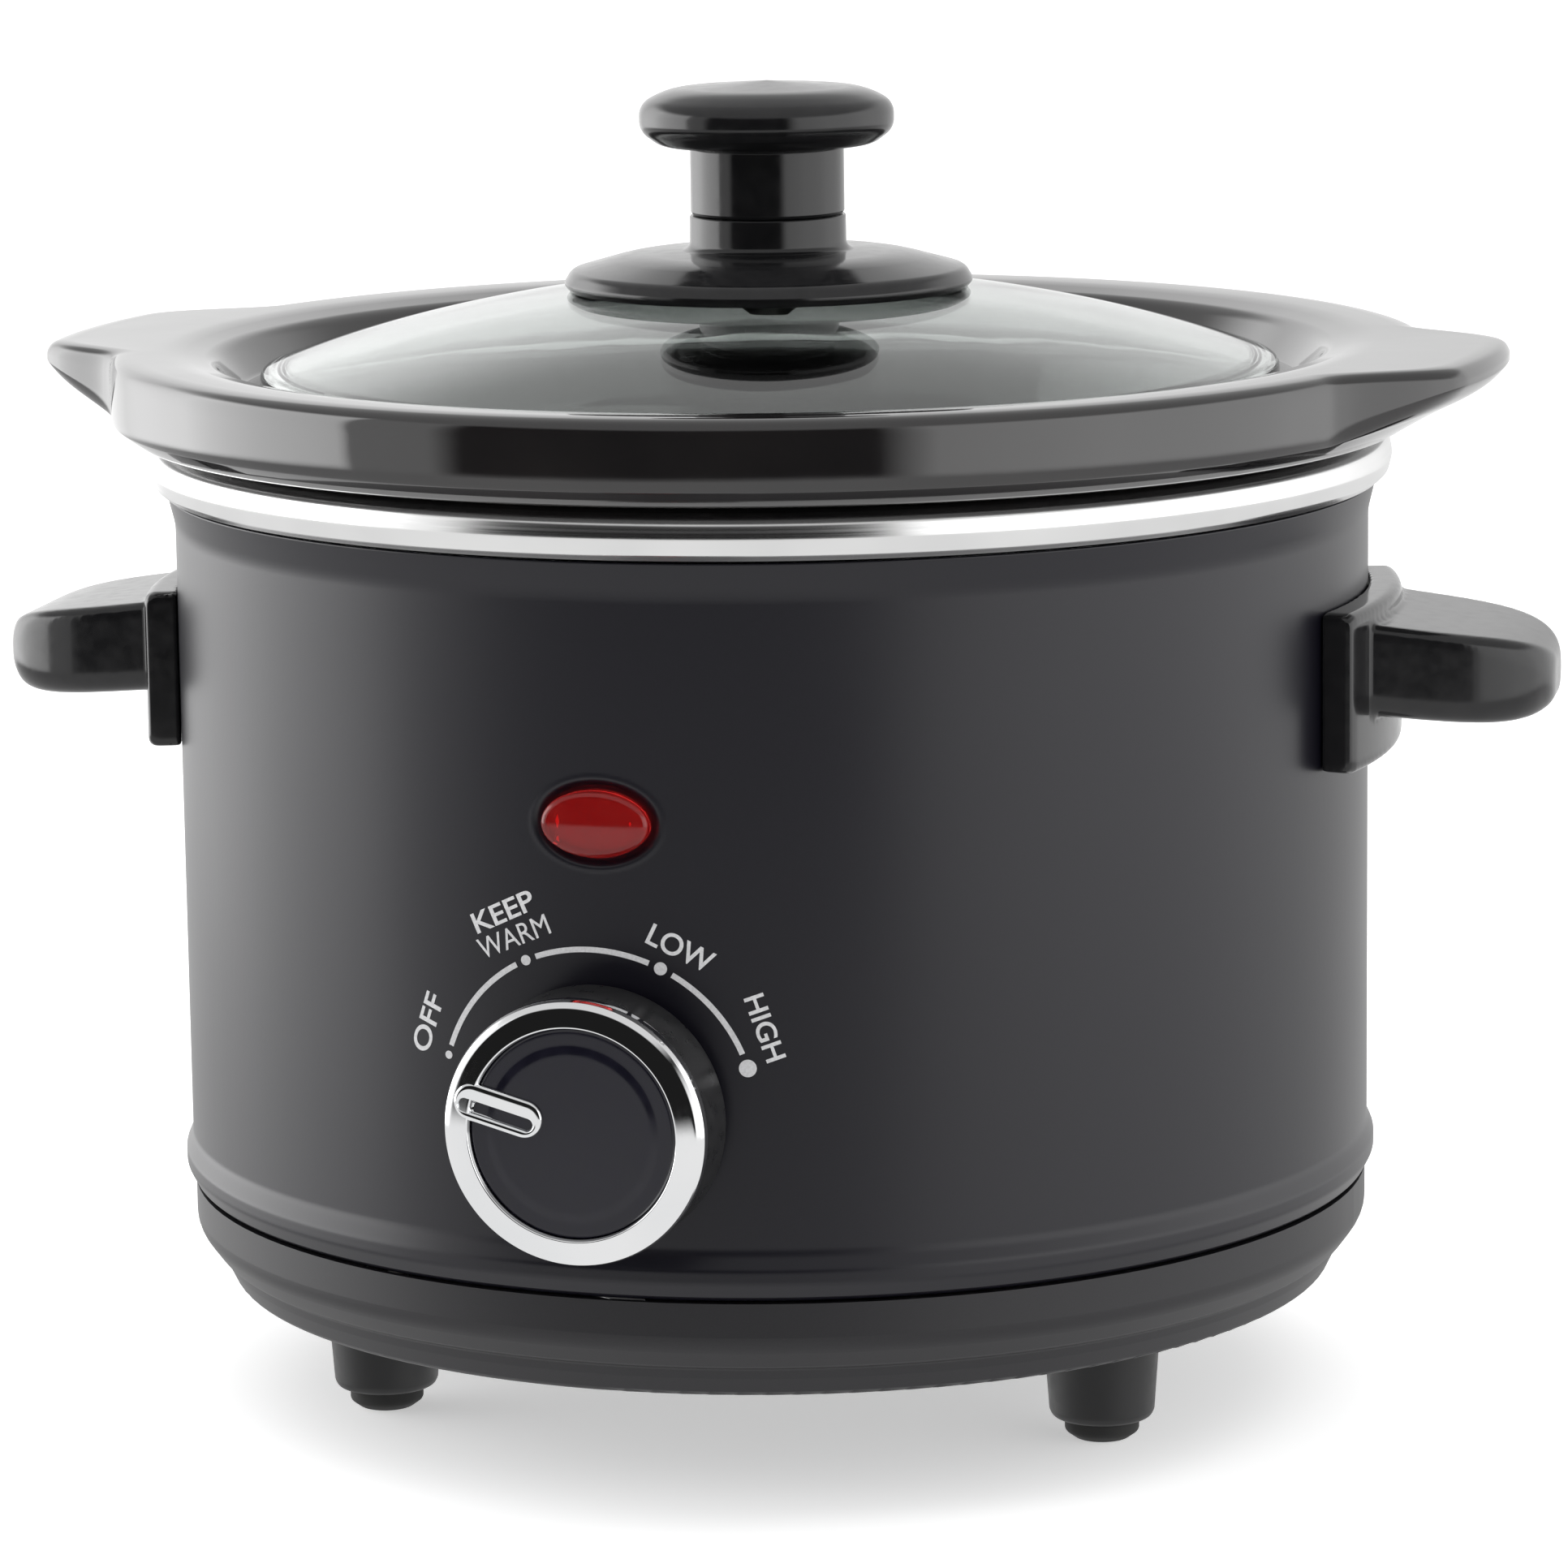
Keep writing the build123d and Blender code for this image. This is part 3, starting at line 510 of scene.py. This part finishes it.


# ------------------------------------------------------------------ feet
BASE_TURN = 4.3          # handles and feet sit this far round from square with the control
for nm, ang in (("foot_front_left", BASE_TURN - 60.0), ("foot_front_right", BASE_TURN + 60.0), ("foot_rear", BASE_TURN + 180.0)):
    cx, cy = 67.0 * math.sin(math.radians(ang)), -67.0 * math.cos(math.radians(ang))

    def at_foot(r, h, a, cx=cx, cy=cy):
        return (cx + r * math.cos(a), cy + r * math.sin(a), h)

    turned(nm + "_leg", [(0, 7.4), (2.6, 7.4), (2.6, 3.4), (7.7, 3.4, 1.2), (8.25, 4.6, 1.0), (9.3, 19.2), (1.9, 19.2), (1.9, 9.1), (0, 9.1)],
           "foot", "base_unit", [nm], "foot_plastic", 96, closed=False, place=at_foot, step=1.5)
    pd = turned(nm + "_pad", [(0, 0), (4.2, 0, 0.8), (5.85, 1.2, 1.0), (5.85, 3.3, 0.2), (2.5, 3.3), (2.5, 7.0, 0.4), (0, 7.0)],
                "pad", "base_unit", (), "pad_rubber", 96, closed=False, place=at_foot, step=1.0)
    if nm == "foot_rear":
        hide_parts("foot_pads")


# ------------------------------------------------------------------ handles
def solid_from(name, parts):
    verts, faces = [], []
    for v, f in parts:
        k = len(verts)
        verts += list(v)
        faces += [[q + k for q in face] for face in f]
    me = bpy.data.meshes.new(name)
    me.from_pydata([tuple(c * MM for c in v) for v in verts], [], faces)
    bm = bmesh.new(); bm.from_mesh(me)
    bmesh.ops.recalc_face_normals(bm, faces=bm.faces)
    bm.to_mesh(me); bm.free()
    o = bpy.data.objects.new(name, me)
    bpy.context.scene.collection.objects.link(o)
    return o


def stacked(rings):
    """Closed skin through rings of equal length, with flat ends."""
    verts, faces = [], []
    n = len(rings[0])
    for ring in rings:
        verts += ring
    for i in range(len(rings) - 1):
        for j in range(n):
            k = (j + 1) % n
            faces.append([i * n + j, i * n + k, (i + 1) * n + k, (i + 1) * n + j])
    faces.append(list(range(n))[::-1])
    faces.append([(len(rings) - 1) * n + j for j in range(n)])
    return verts, faces


def section(w, h, rt, rb):
    """Half of width 2w and height 2h, top corners rt and bottom corners rb; 4 x 10 points."""
    pts = []
    rt, rb = min(rt, w * 0.95, h * 0.95), min(rb, w * 0.95, h * 0.95)
    for (cx, cz, r, a0) in ((w - rt, h - rt, rt, 0), (-(w - rt), h - rt, rt, 90), (-(w - rb), -(h - rb), rb, 180), (w - rb, -(h - rb), rb, 270)):
        for k in range(10):
            q = math.radians(a0 + 90 * k / 9)
            pts.append((cx + r * math.cos(q), cz + r * math.sin(q)))
    return pts


def make_handle():
    x0, x1, n = 104.0, 125.6, 2.35
    rings = []
    stations = [97.0, 99.0, 101.5, 104.0] + [x0 + (x1 - x0) * math.sin(math.pi / 2 * k / 26) for k in range(1, 27)]
    for x in stations:
        u = max(0.0, (x - x0) / (x1 - x0))
        s = max(0.0, (1 - min(1.0, u) ** n)) ** (1 / n)
        w = (20.6 - 1.4 * (x - 98.2) / 20.0) * (0.22 + 0.78 * s)
        sh = max(0.0, 1 - min(1.0, u) ** 5) ** 0.43
        h = (7.3 - 0.02 * (x - 98.2)) * (0.30 + 0.70 * sh)
        zc_ = 120.1 - 0.10 * (x - 98.2)
        rings.append([(x, y, zc_ + z) for y, z in section(w, h, 1.6 + 2.6 * (1 - s), 3.2 + 2.5 * (1 - s))])
    wing = stacked(rings)
    rings = []
    for k in range(33):
        q = math.radians(-16.0 + 32.0 * k / 32)
        ring = []
        e = 0.0 if 0 < k < 32 else 0.35
        for r, z in corner_points([(95.1, 105.0 + e, 0.3), (100.4 - e, 105.0 + e, 1.2), (100.4 - e, 130.0 - e, 1.6), (95.1, 130.0 - e, 0.3)], True, 50.0, 30.0):
            ring.append((r * math.cos(q), r * math.sin(q), z))
        rings.append(ring)
    plate = stacked(rings)
    o = solid_from("handle_tmp", [wing, plate])
    # finger recess underneath
    rings = []
    for z in np.linspace(108.0, 121.0, 8):
        ring = []
        for (cx, cy, a0) in ((112.0, 8.5, 0), (105.0, 8.5, 90), (105.0, -8.5, 180), (112.0, -8.5, 270)):
            for k in range(6):
                q = math.radians(a0 + 18 * k)
                ring.append((cx + 4 * math.cos(q), cy + 4 * math.sin(q), float(z)))
        rings.append(ring)
    c = solid_from("pocket_tmp", [stacked(rings)])
    rm = o.modifiers.new("skin", "REMESH"); rm.mode = "VOXEL"; rm.voxel_size = 0.00036; rm.adaptivity = 0.0
    bo = o.modifiers.new("recess", "BOOLEAN"); bo.operation = "DIFFERENCE"; bo.object = c; bo.solver = "FAST"
    rm2 = o.modifiers.new("skin2", "REMESH"); rm2.mode = "VOXEL"; rm2.voxel_size = 0.00036; rm2.adaptivity = 0.0
    sm = o.modifiers.new("soften", "SMOOTH"); sm.factor = 0.5; sm.iterations = 7
    bpy.context.view_layer.update()
    dg = bpy.context.evaluated_depsgraph_get()
    me = bpy.data.meshes.new_from_object(o.evaluated_get(dg))
    if len(me.polygons) < 5000:
        bo.solver = "EXACT"
        bpy.context.view_layer.update()
        me = bpy.data.meshes.new_from_object(o.evaluated_get(bpy.context.evaluated_depsgraph_get()))
    if len(me.polygons) < 5000:
        o.modifiers.remove(bo)
        bpy.context.view_layer.update()
        me = bpy.data.meshes.new_from_object(o.evaluated_get(bpy.context.evaluated_depsgraph_get()))
    print("handle skin", len(me.polygons))
    bpy.data.objects.remove(o); bpy.data.objects.remove(c)
    return me


hm = make_handle()
for nm, turn in (("handle_right", 0.0), ("handle_left", math.pi)):
    me = hm.copy()
    me.transform(Matrix.Rotation(turn + math.radians(BASE_TURN), 4, "Z"))
    me.polygons.foreach_set("use_smooth", [True] * len(me.polygons))
    me.materials.clear()
    me.materials.append(M["phenolic"])
    me.name = nm + "_gloss"
    o = bpy.data.objects.new(nm + "_gloss", me)
    bpy.context.scene.collection.objects.link(o)
    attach(o, "base_unit")
    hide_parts(nm)

# ------------------------------------------------------------------ pilot lens
A, B = 8.3, 5.05


def oval_rings(levels, name, mat, n=96, ribs=False):
    """levels: (scale a, scale b, y, rib depth) rings, closed at both ends with a fan."""
    verts, faces = [], []
    for sa, sb, y, rib in levels:
        for k in range(n):
            q = 2 * math.pi * k / n
            x, z = sa * math.cos(q), sb * math.sin(q)
            yy = y
            if rib:
                yy += rib * abs(((x / 2.35) % 1.0) - 0.5) * 2.0
            verts.append((x, yy, LENS_Z + z))
    m = len(levels)
    for i in range(m - 1):
        for j in range(n):
            k = (j + 1) % n
            faces.append([i * n + j, i * n + k, (i + 1) * n + k, (i + 1) * n + j])
    for base, y, rib in ((0, levels[0][2], levels[0][3]), ((m - 1) * n, levels[-1][2], levels[-1][3])):
        verts.append((0, y + (rib or 0), LENS_Z))
        c = len(verts) - 1
        for j in range(n):
            faces.append([base + j, base + (j + 1) % n, c])
    return verts, faces


# clear red cap
lv = [(0.4, 0.25, -94.3, 0), (7.0, 3.8, -94.3, 0), (A, B, -94.3, 0), (A, B, -95.6, 0)]
for k in range(1, 9):
    q = math.radians(90 * k / 8)
    lv.append((A - 1.3 * (1 - math.cos(q)), B - 1.3 * (1 - math.cos(q)), -95.6 - 1.05 * math.sin(q), 0))
for f in (0.8, 0.6, 0.4, 0.2, 0.05):
    lv.append(((A - 1.3) * f, (B - 1.3) * f, -96.65 - 0.34 * (1 - f * f), 0))
v, f = oval_rings(lv, "lens", "lens")
mesh_object("indicator_lens_red", v, f, "lens", "base_unit", ["indicator_lens"])

# ribbed diffuser seen through the cap: a grid of prisms in an oval
verts, faces = [], []
nx, nz = 72, 24
for side in (0, 1):
    for i in range(nx + 1):
        for j in range(nz + 1):
            u, w = -1 + 2 * i / nx, -1 + 2 * j / nz
            x = 7.6 * u * math.sqrt(max(0.0, 1 - 0.5 * w * w))
            z = 4.4 * w * math.sqrt(max(0.0, 1 - 0.5 * u * u))
            if side == 0:
                tri = abs(((x / 2.2 + 0.25) % 1.0) - 0.5) * 2.0
                row = abs(((z / 2.9 + 0.5) % 1.0) - 0.5) * 2.0
                y = -93.7 + 0.55 * tri + 0.18 * row
            else:
                y = -92.6
            verts.append((x, y, LENS_Z + z))
N0 = (nx + 1) * (nz + 1)
for i in range(nx):
    for j in range(nz):
        q = [i * (nz + 1) + j, (i + 1) * (nz + 1) + j, (i + 1) * (nz + 1) + j + 1, i * (nz + 1) + j + 1]
        faces.append(q)
        faces.append([N0 + k for k in reversed(q)])
border = [i * (nz + 1) for i in range(nx)] + [nx * (nz + 1) + j for j in range(nz)] + [i * (nz + 1) + nz for i in range(nx, 0, -1)] + [j for j in range(nz, 0, -1)]
for a, b in zip(border, border[1:] + border[:1]):
    faces.append([a, b, N0 + b, N0 + a])
mesh_object("indicator_ribs_red", verts, faces, "ribs", "base_unit", (), 25)

# ------------------------------------------------------------------ control knob
KZ, FY = 63.8, -110.0


def about_front(r, h, a):
    return (r * math.cos(a), h, KZ + r * math.sin(a))


turned("knob_skirt_moulded", [(3.1, -104.0), (3.1, FY + 3.4), (0, FY + 3.4), (0, FY + 2.25), (18.2, FY + 2.25), (18.2, FY + 3.6), (19.5, FY + 3.6, 0.2),
                              (19.9, -97.0, 0.5), (19.4, -96.4, 0.2), (17.9, -96.4), (17.5, -105.6), (6.2, -105.6), (6.2, -100.4), (3.1, -100.4)],
       "skirt", "control_knob", ["knob_body"], "knob_plastic", 240, closed=True, place=about_front, step=1.5)
turned("knob_bezel_ring", [(15.75, FY + 0.55), (16.05, FY + 0.02, 0.25), (18.9, FY + 0.52, 1.2), (19.72, FY + 1.0, 0.35), (20.0, FY + 1.7, 0.4), (20.0, FY + 3.4, 0.2), (18.4, FY + 3.4),
                           (18.4, FY + 2.15), (15.75, FY + 2.15)],
       "chrome", "control_knob", ["knob_bezel"], "bezel_chrome", 288, place=about_front, step=0.6, arc_step=5)
turned("knob_insert_disc", [(0, FY + 2.2), (15.7, FY + 2.2), (15.7, FY + 1.05, 0.15), (15.3, FY + 0.75, 0.3), (13.2, FY + 0.75, 2.0), (12.2, FY + 0.62, 4.0), (0, FY + 0.60)],
       "insert", "control_knob", ["knob_insert"], "insert_plastic", 240, closed=False, place=about_front, step=1.0)

# pointer bar with its groove, along the direction of rest
OFF = math.radians(164.5)
ca, sa = math.cos(OFF), math.sin(OFF)


def stadium(u0, u1, w, n=24, inset=0.0, v0=0.0):
    r = w / 2 - inset
    pts = []
    for k in range(n + 1):
        q = math.radians(-90 + 180 * k / n)
        pts.append((u1 - w / 2 + r * math.cos(q), v0 + r * math.sin(q)))
    for k in range(n + 1):
        q = math.radians(90 + 180 * k / n)
        pts.append((u0 + w / 2 + r * math.cos(q), v0 + r * math.sin(q)))
    return pts


def knob_point(u, v, y):
    return (u * ca - v * sa, y, KZ + u * sa + v * ca)


loops = [(stadium(4.7, 18.6, 5.7), FY + 2.1), (stadium(4.7, 18.6, 5.7), FY + 0.5), (stadium(4.7, 18.6, 5.7, inset=0.06), FY + 0.24), (stadium(4.7, 18.6, 5.7, inset=0.24), FY + 0.06),
         (stadium(4.7, 18.6, 5.7, inset=0.5), FY + 0.0), (stadium(5.8, 18.0, 2.3, v0=0.72), FY + 0.0), (stadium(5.8, 18.0, 2.3, inset=0.12, v0=0.72), FY + 0.10),
         (stadium(5.8, 18.0, 2.3, inset=0.26, v0=0.72), FY + 0.55), (stadium(5.8, 18.0, 2.3, inset=0.5, v0=0.72), FY + 0.85), (stadium(5.8, 18.0, 2.3, inset=0.9, v0=0.72), FY + 0.92)]
verts, faces = [], []
n = len(loops[0][0])
for pts, y in loops:
    verts += [knob_point(u, v, y) for u, v in pts]
for i in range(len(loops) - 1):
    for j in range(n):
        k = (j + 1) % n
        faces.append([i * n + j, i * n + k, (i + 1) * n + k, (i + 1) * n + j])
faces.append(list(range(n))[::-1])
faces.append([(len(loops) - 1) * n + j for j in range(n)])
mesh_object("knob_pointer_chrome", verts, faces, "chrome", "control_knob", (), 50)

# ------------------------------------------------------------------ printed dial
RS, S0 = 95.0, -1.4


def on_shell(s, h, lift):
    r = RS + lift
    return (r * math.sin(s / RS), -r * math.cos(s / RS), KZ + h)


verts, faces = [], []


def strip(outline_in, outline_out, closed=False):
    """Thin printed band between two rows of (s, h) points."""
    k0 = len(verts)
    n = len(outline_in)
    for lift in (0.045, -0.03):
        for row in (outline_in, outline_out):
            verts.extend(on_shell(s, h, lift) for s, h in row)
    ti, to, bi, bo = k0, k0 + n, k0 + 2 * n, k0 + 3 * n
    for j in range(n - 1):
        faces.append([ti + j, ti + j + 1, to + j + 1, to + j])
        faces.append([bi + j, bo + j, bo + j + 1, bi + j + 1])
        faces.append([ti + j, bi + j, bi + j + 1, ti + j + 1])
        faces.append([to + j, to + j + 1, bo + j + 1, bo + j])
    faces.append([ti, to, bo, bi])
    faces.append([ti + n - 1, bi + n - 1, bo + n - 1, to + n - 1])


def disc(s, h, r):
    k0 = len(verts)
    n = 36
    for lift in (0.05, -0.03):
        verts.extend(on_shell(s + r * math.cos(2 * math.pi * j / n), h + r * math.sin(2 * math.pi * j / n), lift) for j in range(n))
    faces.append([k0 + j for j in range(n)])
    faces.append([k0 + n + j for j in reversed(range(n))])
    for j in range(n):
        k = (j + 1) % n
        faces.append([k0 + j, k0 + n + j, k0 + n + k, k0 + k])


DR = 24.7
marks = [(163.7, 0.62), (114.3, 0.78), (64.0, 0.98), (17.2, 1.32)]
for deg, r in marks:
    q = math.radians(deg)
    disc(S0 + DR * math.cos(q), DR * math.sin(q), r)
for (d0, ra), (d1, rb) in zip(marks, marks[1:]):
    g0, g1 = math.degrees((ra + 0.95) / DR), math.degrees((rb + 0.95) / DR)
    qs = [math.radians(d0 - g0 + (d1 + g1 - d0 + g0) * k / 40) for k in range(41)]
    strip([(S0 + (DR - 0.42) * math.cos(q), (DR - 0.42) * math.sin(q)) for q in qs], [(S0 + (DR + 0.42) * math.cos(q), (DR + 0.42) * math.sin(q)) for q in qs])
mesh_object("dial_print_arcs", verts, faces, "print", "base_unit", (), 30)

for word, s0, h0, deg, wide, tall in (("OFF", -28.9, 11.5, 70.0, 9.3, 3.35), ("KEEP", -15.2, 29.6, 25.0, 11.0, 3.1), ("WARM", -13.6, 25.9, 23.0, 12.4, 3.1),
                                      ("LOW", 12.5, 25.3, -26.0, 10.4, 3.35), ("HIGH", 24.8, 13.4, -71.0, 10.3, 3.1)):
    cu = bpy.data.curves.new("word", "FONT")
    cu.body = word
    cu.align_x, cu.align_y = "CENTER", "CENTER"
    cu.size = 1.0
    cu.offset = 0.0 if word == "WARM" else 0.014
    cu.extrude = 0.02
    cu.resolution_u = 8
    tmp = bpy.data.objects.new("word", cu)
    bpy.context.scene.collection.objects.link(tmp)
    bpy.context.view_layer.update()
    me = bpy.data.meshes.new_from_object(tmp.evaluated_get(bpy.context.evaluated_depsgraph_get()))
    bpy.data.objects.remove(tmp)
    co = np.array([v.co for v in me.vertices], float)
    lo, hi = co.min(0), co.max(0)
    c, s = math.cos(math.radians(deg)), math.sin(math.radians(deg))
    for vtx in me.vertices:
        u = (vtx.co.x - (lo[0] + hi[0]) / 2) * wide / (hi[0] - lo[0])
        w = (vtx.co.y - (lo[1] + hi[1]) / 2) * tall / (hi[1] - lo[1])
        lift = 0.045 if vtx.co.z > 0 else -0.03
        p = on_shell(s0 + u * c - w * s, h0 + u * s + w * c, lift)
        vtx.co = Vector(p) * MM
    me.materials.clear()
    me.materials.append(M["print"])
    o = bpy.data.objects.new("dial_print_" + word, me)
    bpy.context.scene.collection.objects.link(o)
    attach(o, "base_unit")

# ------------------------------------------------------------------ floor, light
me = bpy.data.meshes.new("floor")
S = 6.0
me.from_pydata([(-S, -S, 0), (S, -S, 0), (S, S, 0), (-S, S, 0)], [], [(0, 1, 2, 3)])
fm, nt, b, v = new_mat("studio_floor")
fn = noise(nt, v, 3.0, 2.0)
put(nt, b, ramp(nt, fn, (0.90, 0.90, 0.90), (0.92, 0.92, 0.92)), None, None)
b.inputs["Roughness"].default_value = 0.9
b.inputs["Specular IOR Level"].default_value = 0.1
b.inputs["Emission Color"].default_value = (1, 1, 1, 1)
b.inputs["Emission Strength"].default_value = 0.46
me.materials.append(fm)
floor = bpy.data.objects.new("floor", me)
floor.visible_glossy = False
bpy.context.scene.collection.objects.link(floor)

world = bpy.data.worlds.new("studio")
bpy.context.scene.world = world
world.use_nodes = True
nt = world.node_tree
nt.nodes.clear()
out = nt.nodes.new("ShaderNodeOutputWorld")
tc = nt.nodes.new("ShaderNodeTexCoord")
# A white table under a dark room in front, tall white panels to both sides and a pale sweep behind.
# Azimuth is measured from the camera side, positive to its right.
front = about_z((0, -1, 0), TURN)
side = about_z((1, 0, 0), TURN)


def math_node(op, a, b=None, clamp=False):
    n = nt.nodes.new("ShaderNodeMath"); n.operation = op; n.use_clamp = clamp
    for k, v in enumerate((a, b)):
        if v is None:
            continue
        if isinstance(v, (int, float)):
            n.inputs[k].default_value = v
        else:
            nt.links.new(v, n.inputs[k])
    return n.outputs[0]


def along(axis):
    d = nt.nodes.new("ShaderNodeVectorMath"); d.operation = "DOT_PRODUCT"
    d.inputs[1].default_value = tuple(axis)
    nt.links.new(tc.outputs["Generated"], d.inputs[0])
    return d.outputs["Value"]


azimuth = math_node("ADD", math_node("DIVIDE", math_node("ARCTAN2", along(side), along(front)), 2 * math.pi), 0.5)
rp = nt.nodes.new("ShaderNodeValToRGB")
stops = [(-180, 1.0), (-150, 1.6), (-136, 2.7), (-120, 3.95), (-84, 3.7), (-78, 3.5), (-76, 1.0), (-60, 1.0), (-54, 0.012),
         (18, 0.012), (28, 1.6), (60, 2.0), (100, 1.9), (128, 1.2), (160, 0.9), (180, 1.0)]
cr = rp.color_ramp
for k, (deg, val) in enumerate(stops):
    p = (deg + 180) / 360
    e = cr.elements[0] if k == 0 else (cr.elements[-1] if k == len(stops) - 1 else cr.elements.new(p))
    e.position = p
    e.color = (val / 4, val / 4, val / 4, 1)
nt.links.new(azimuth, rp.inputs["Fac"])
walls = math_node("MULTIPLY", rp.outputs["Color"], 4.0)
height = along((0, 0, 1))


def fade(lo, hi):
    mr = nt.nodes.new("ShaderNodeMapRange")
    mr.interpolation_type = "SMOOTHSTEP"
    mr.inputs["From Min"].default_value, mr.inputs["From Max"].default_value = lo, hi
    nt.links.new(height, mr.inputs["Value"])
    return mr.outputs["Result"]


def blend(a, b, fac):
    return math_node("ADD", math_node("MULTIPLY", a, math_node("SUBTRACT", 1.0, fac)), math_node("MULTIPLY", b, fac))


level = blend(0.85, walls, fade(-0.225, -0.156))
level = blend(level, 0.68, fade(0.36, 0.56))
studio = nt.nodes.new("ShaderNodeBackground")
studio.inputs["Color"].default_value = (1, 1, 1, 1)
nt.links.new(level, studio.inputs["Strength"])
white = nt.nodes.new("ShaderNodeBackground")
white.inputs["Color"].default_value = (1, 1, 1, 1)
white.inputs["Strength"].default_value = 1.0
lp = nt.nodes.new("ShaderNodeLightPath")
mix = nt.nodes.new("ShaderNodeMixShader")
nt.links.new(lp.outputs["Is Camera Ray"], mix.inputs["Fac"])
nt.links.new(studio.outputs[0], mix.inputs[1])
nt.links.new(white.outputs[0], mix.inputs[2])
nt.links.new(mix.outputs[0], out.inputs["Surface"])


def softbox(name, pos, aim, w, h, power, size_spread=math.pi):
    L = bpy.data.lights.new(name, "AREA")
    L.shape = "RECTANGLE"
    L.size, L.size_y = w, h
    L.energy = power
    o = bpy.data.objects.new(name, L)
    bpy.context.scene.collection.objects.link(o)
    p = about_z(pos, TURN)
    a = about_z(aim, TURN)
    o.location = p
    o.rotation_mode = "QUATERNION"
    o.rotation_quaternion = (Vector(a) - Vector(p)).to_track_quat("-Z", "Y")
    o.visible_camera = False
    return o


# positions are given facing the camera: x to its right, -y towards it
softbox("overhead", (0.0, 0.10, 1.55), (0, 0, 0.1), 2.2, 1.6, 14).visible_glossy = False
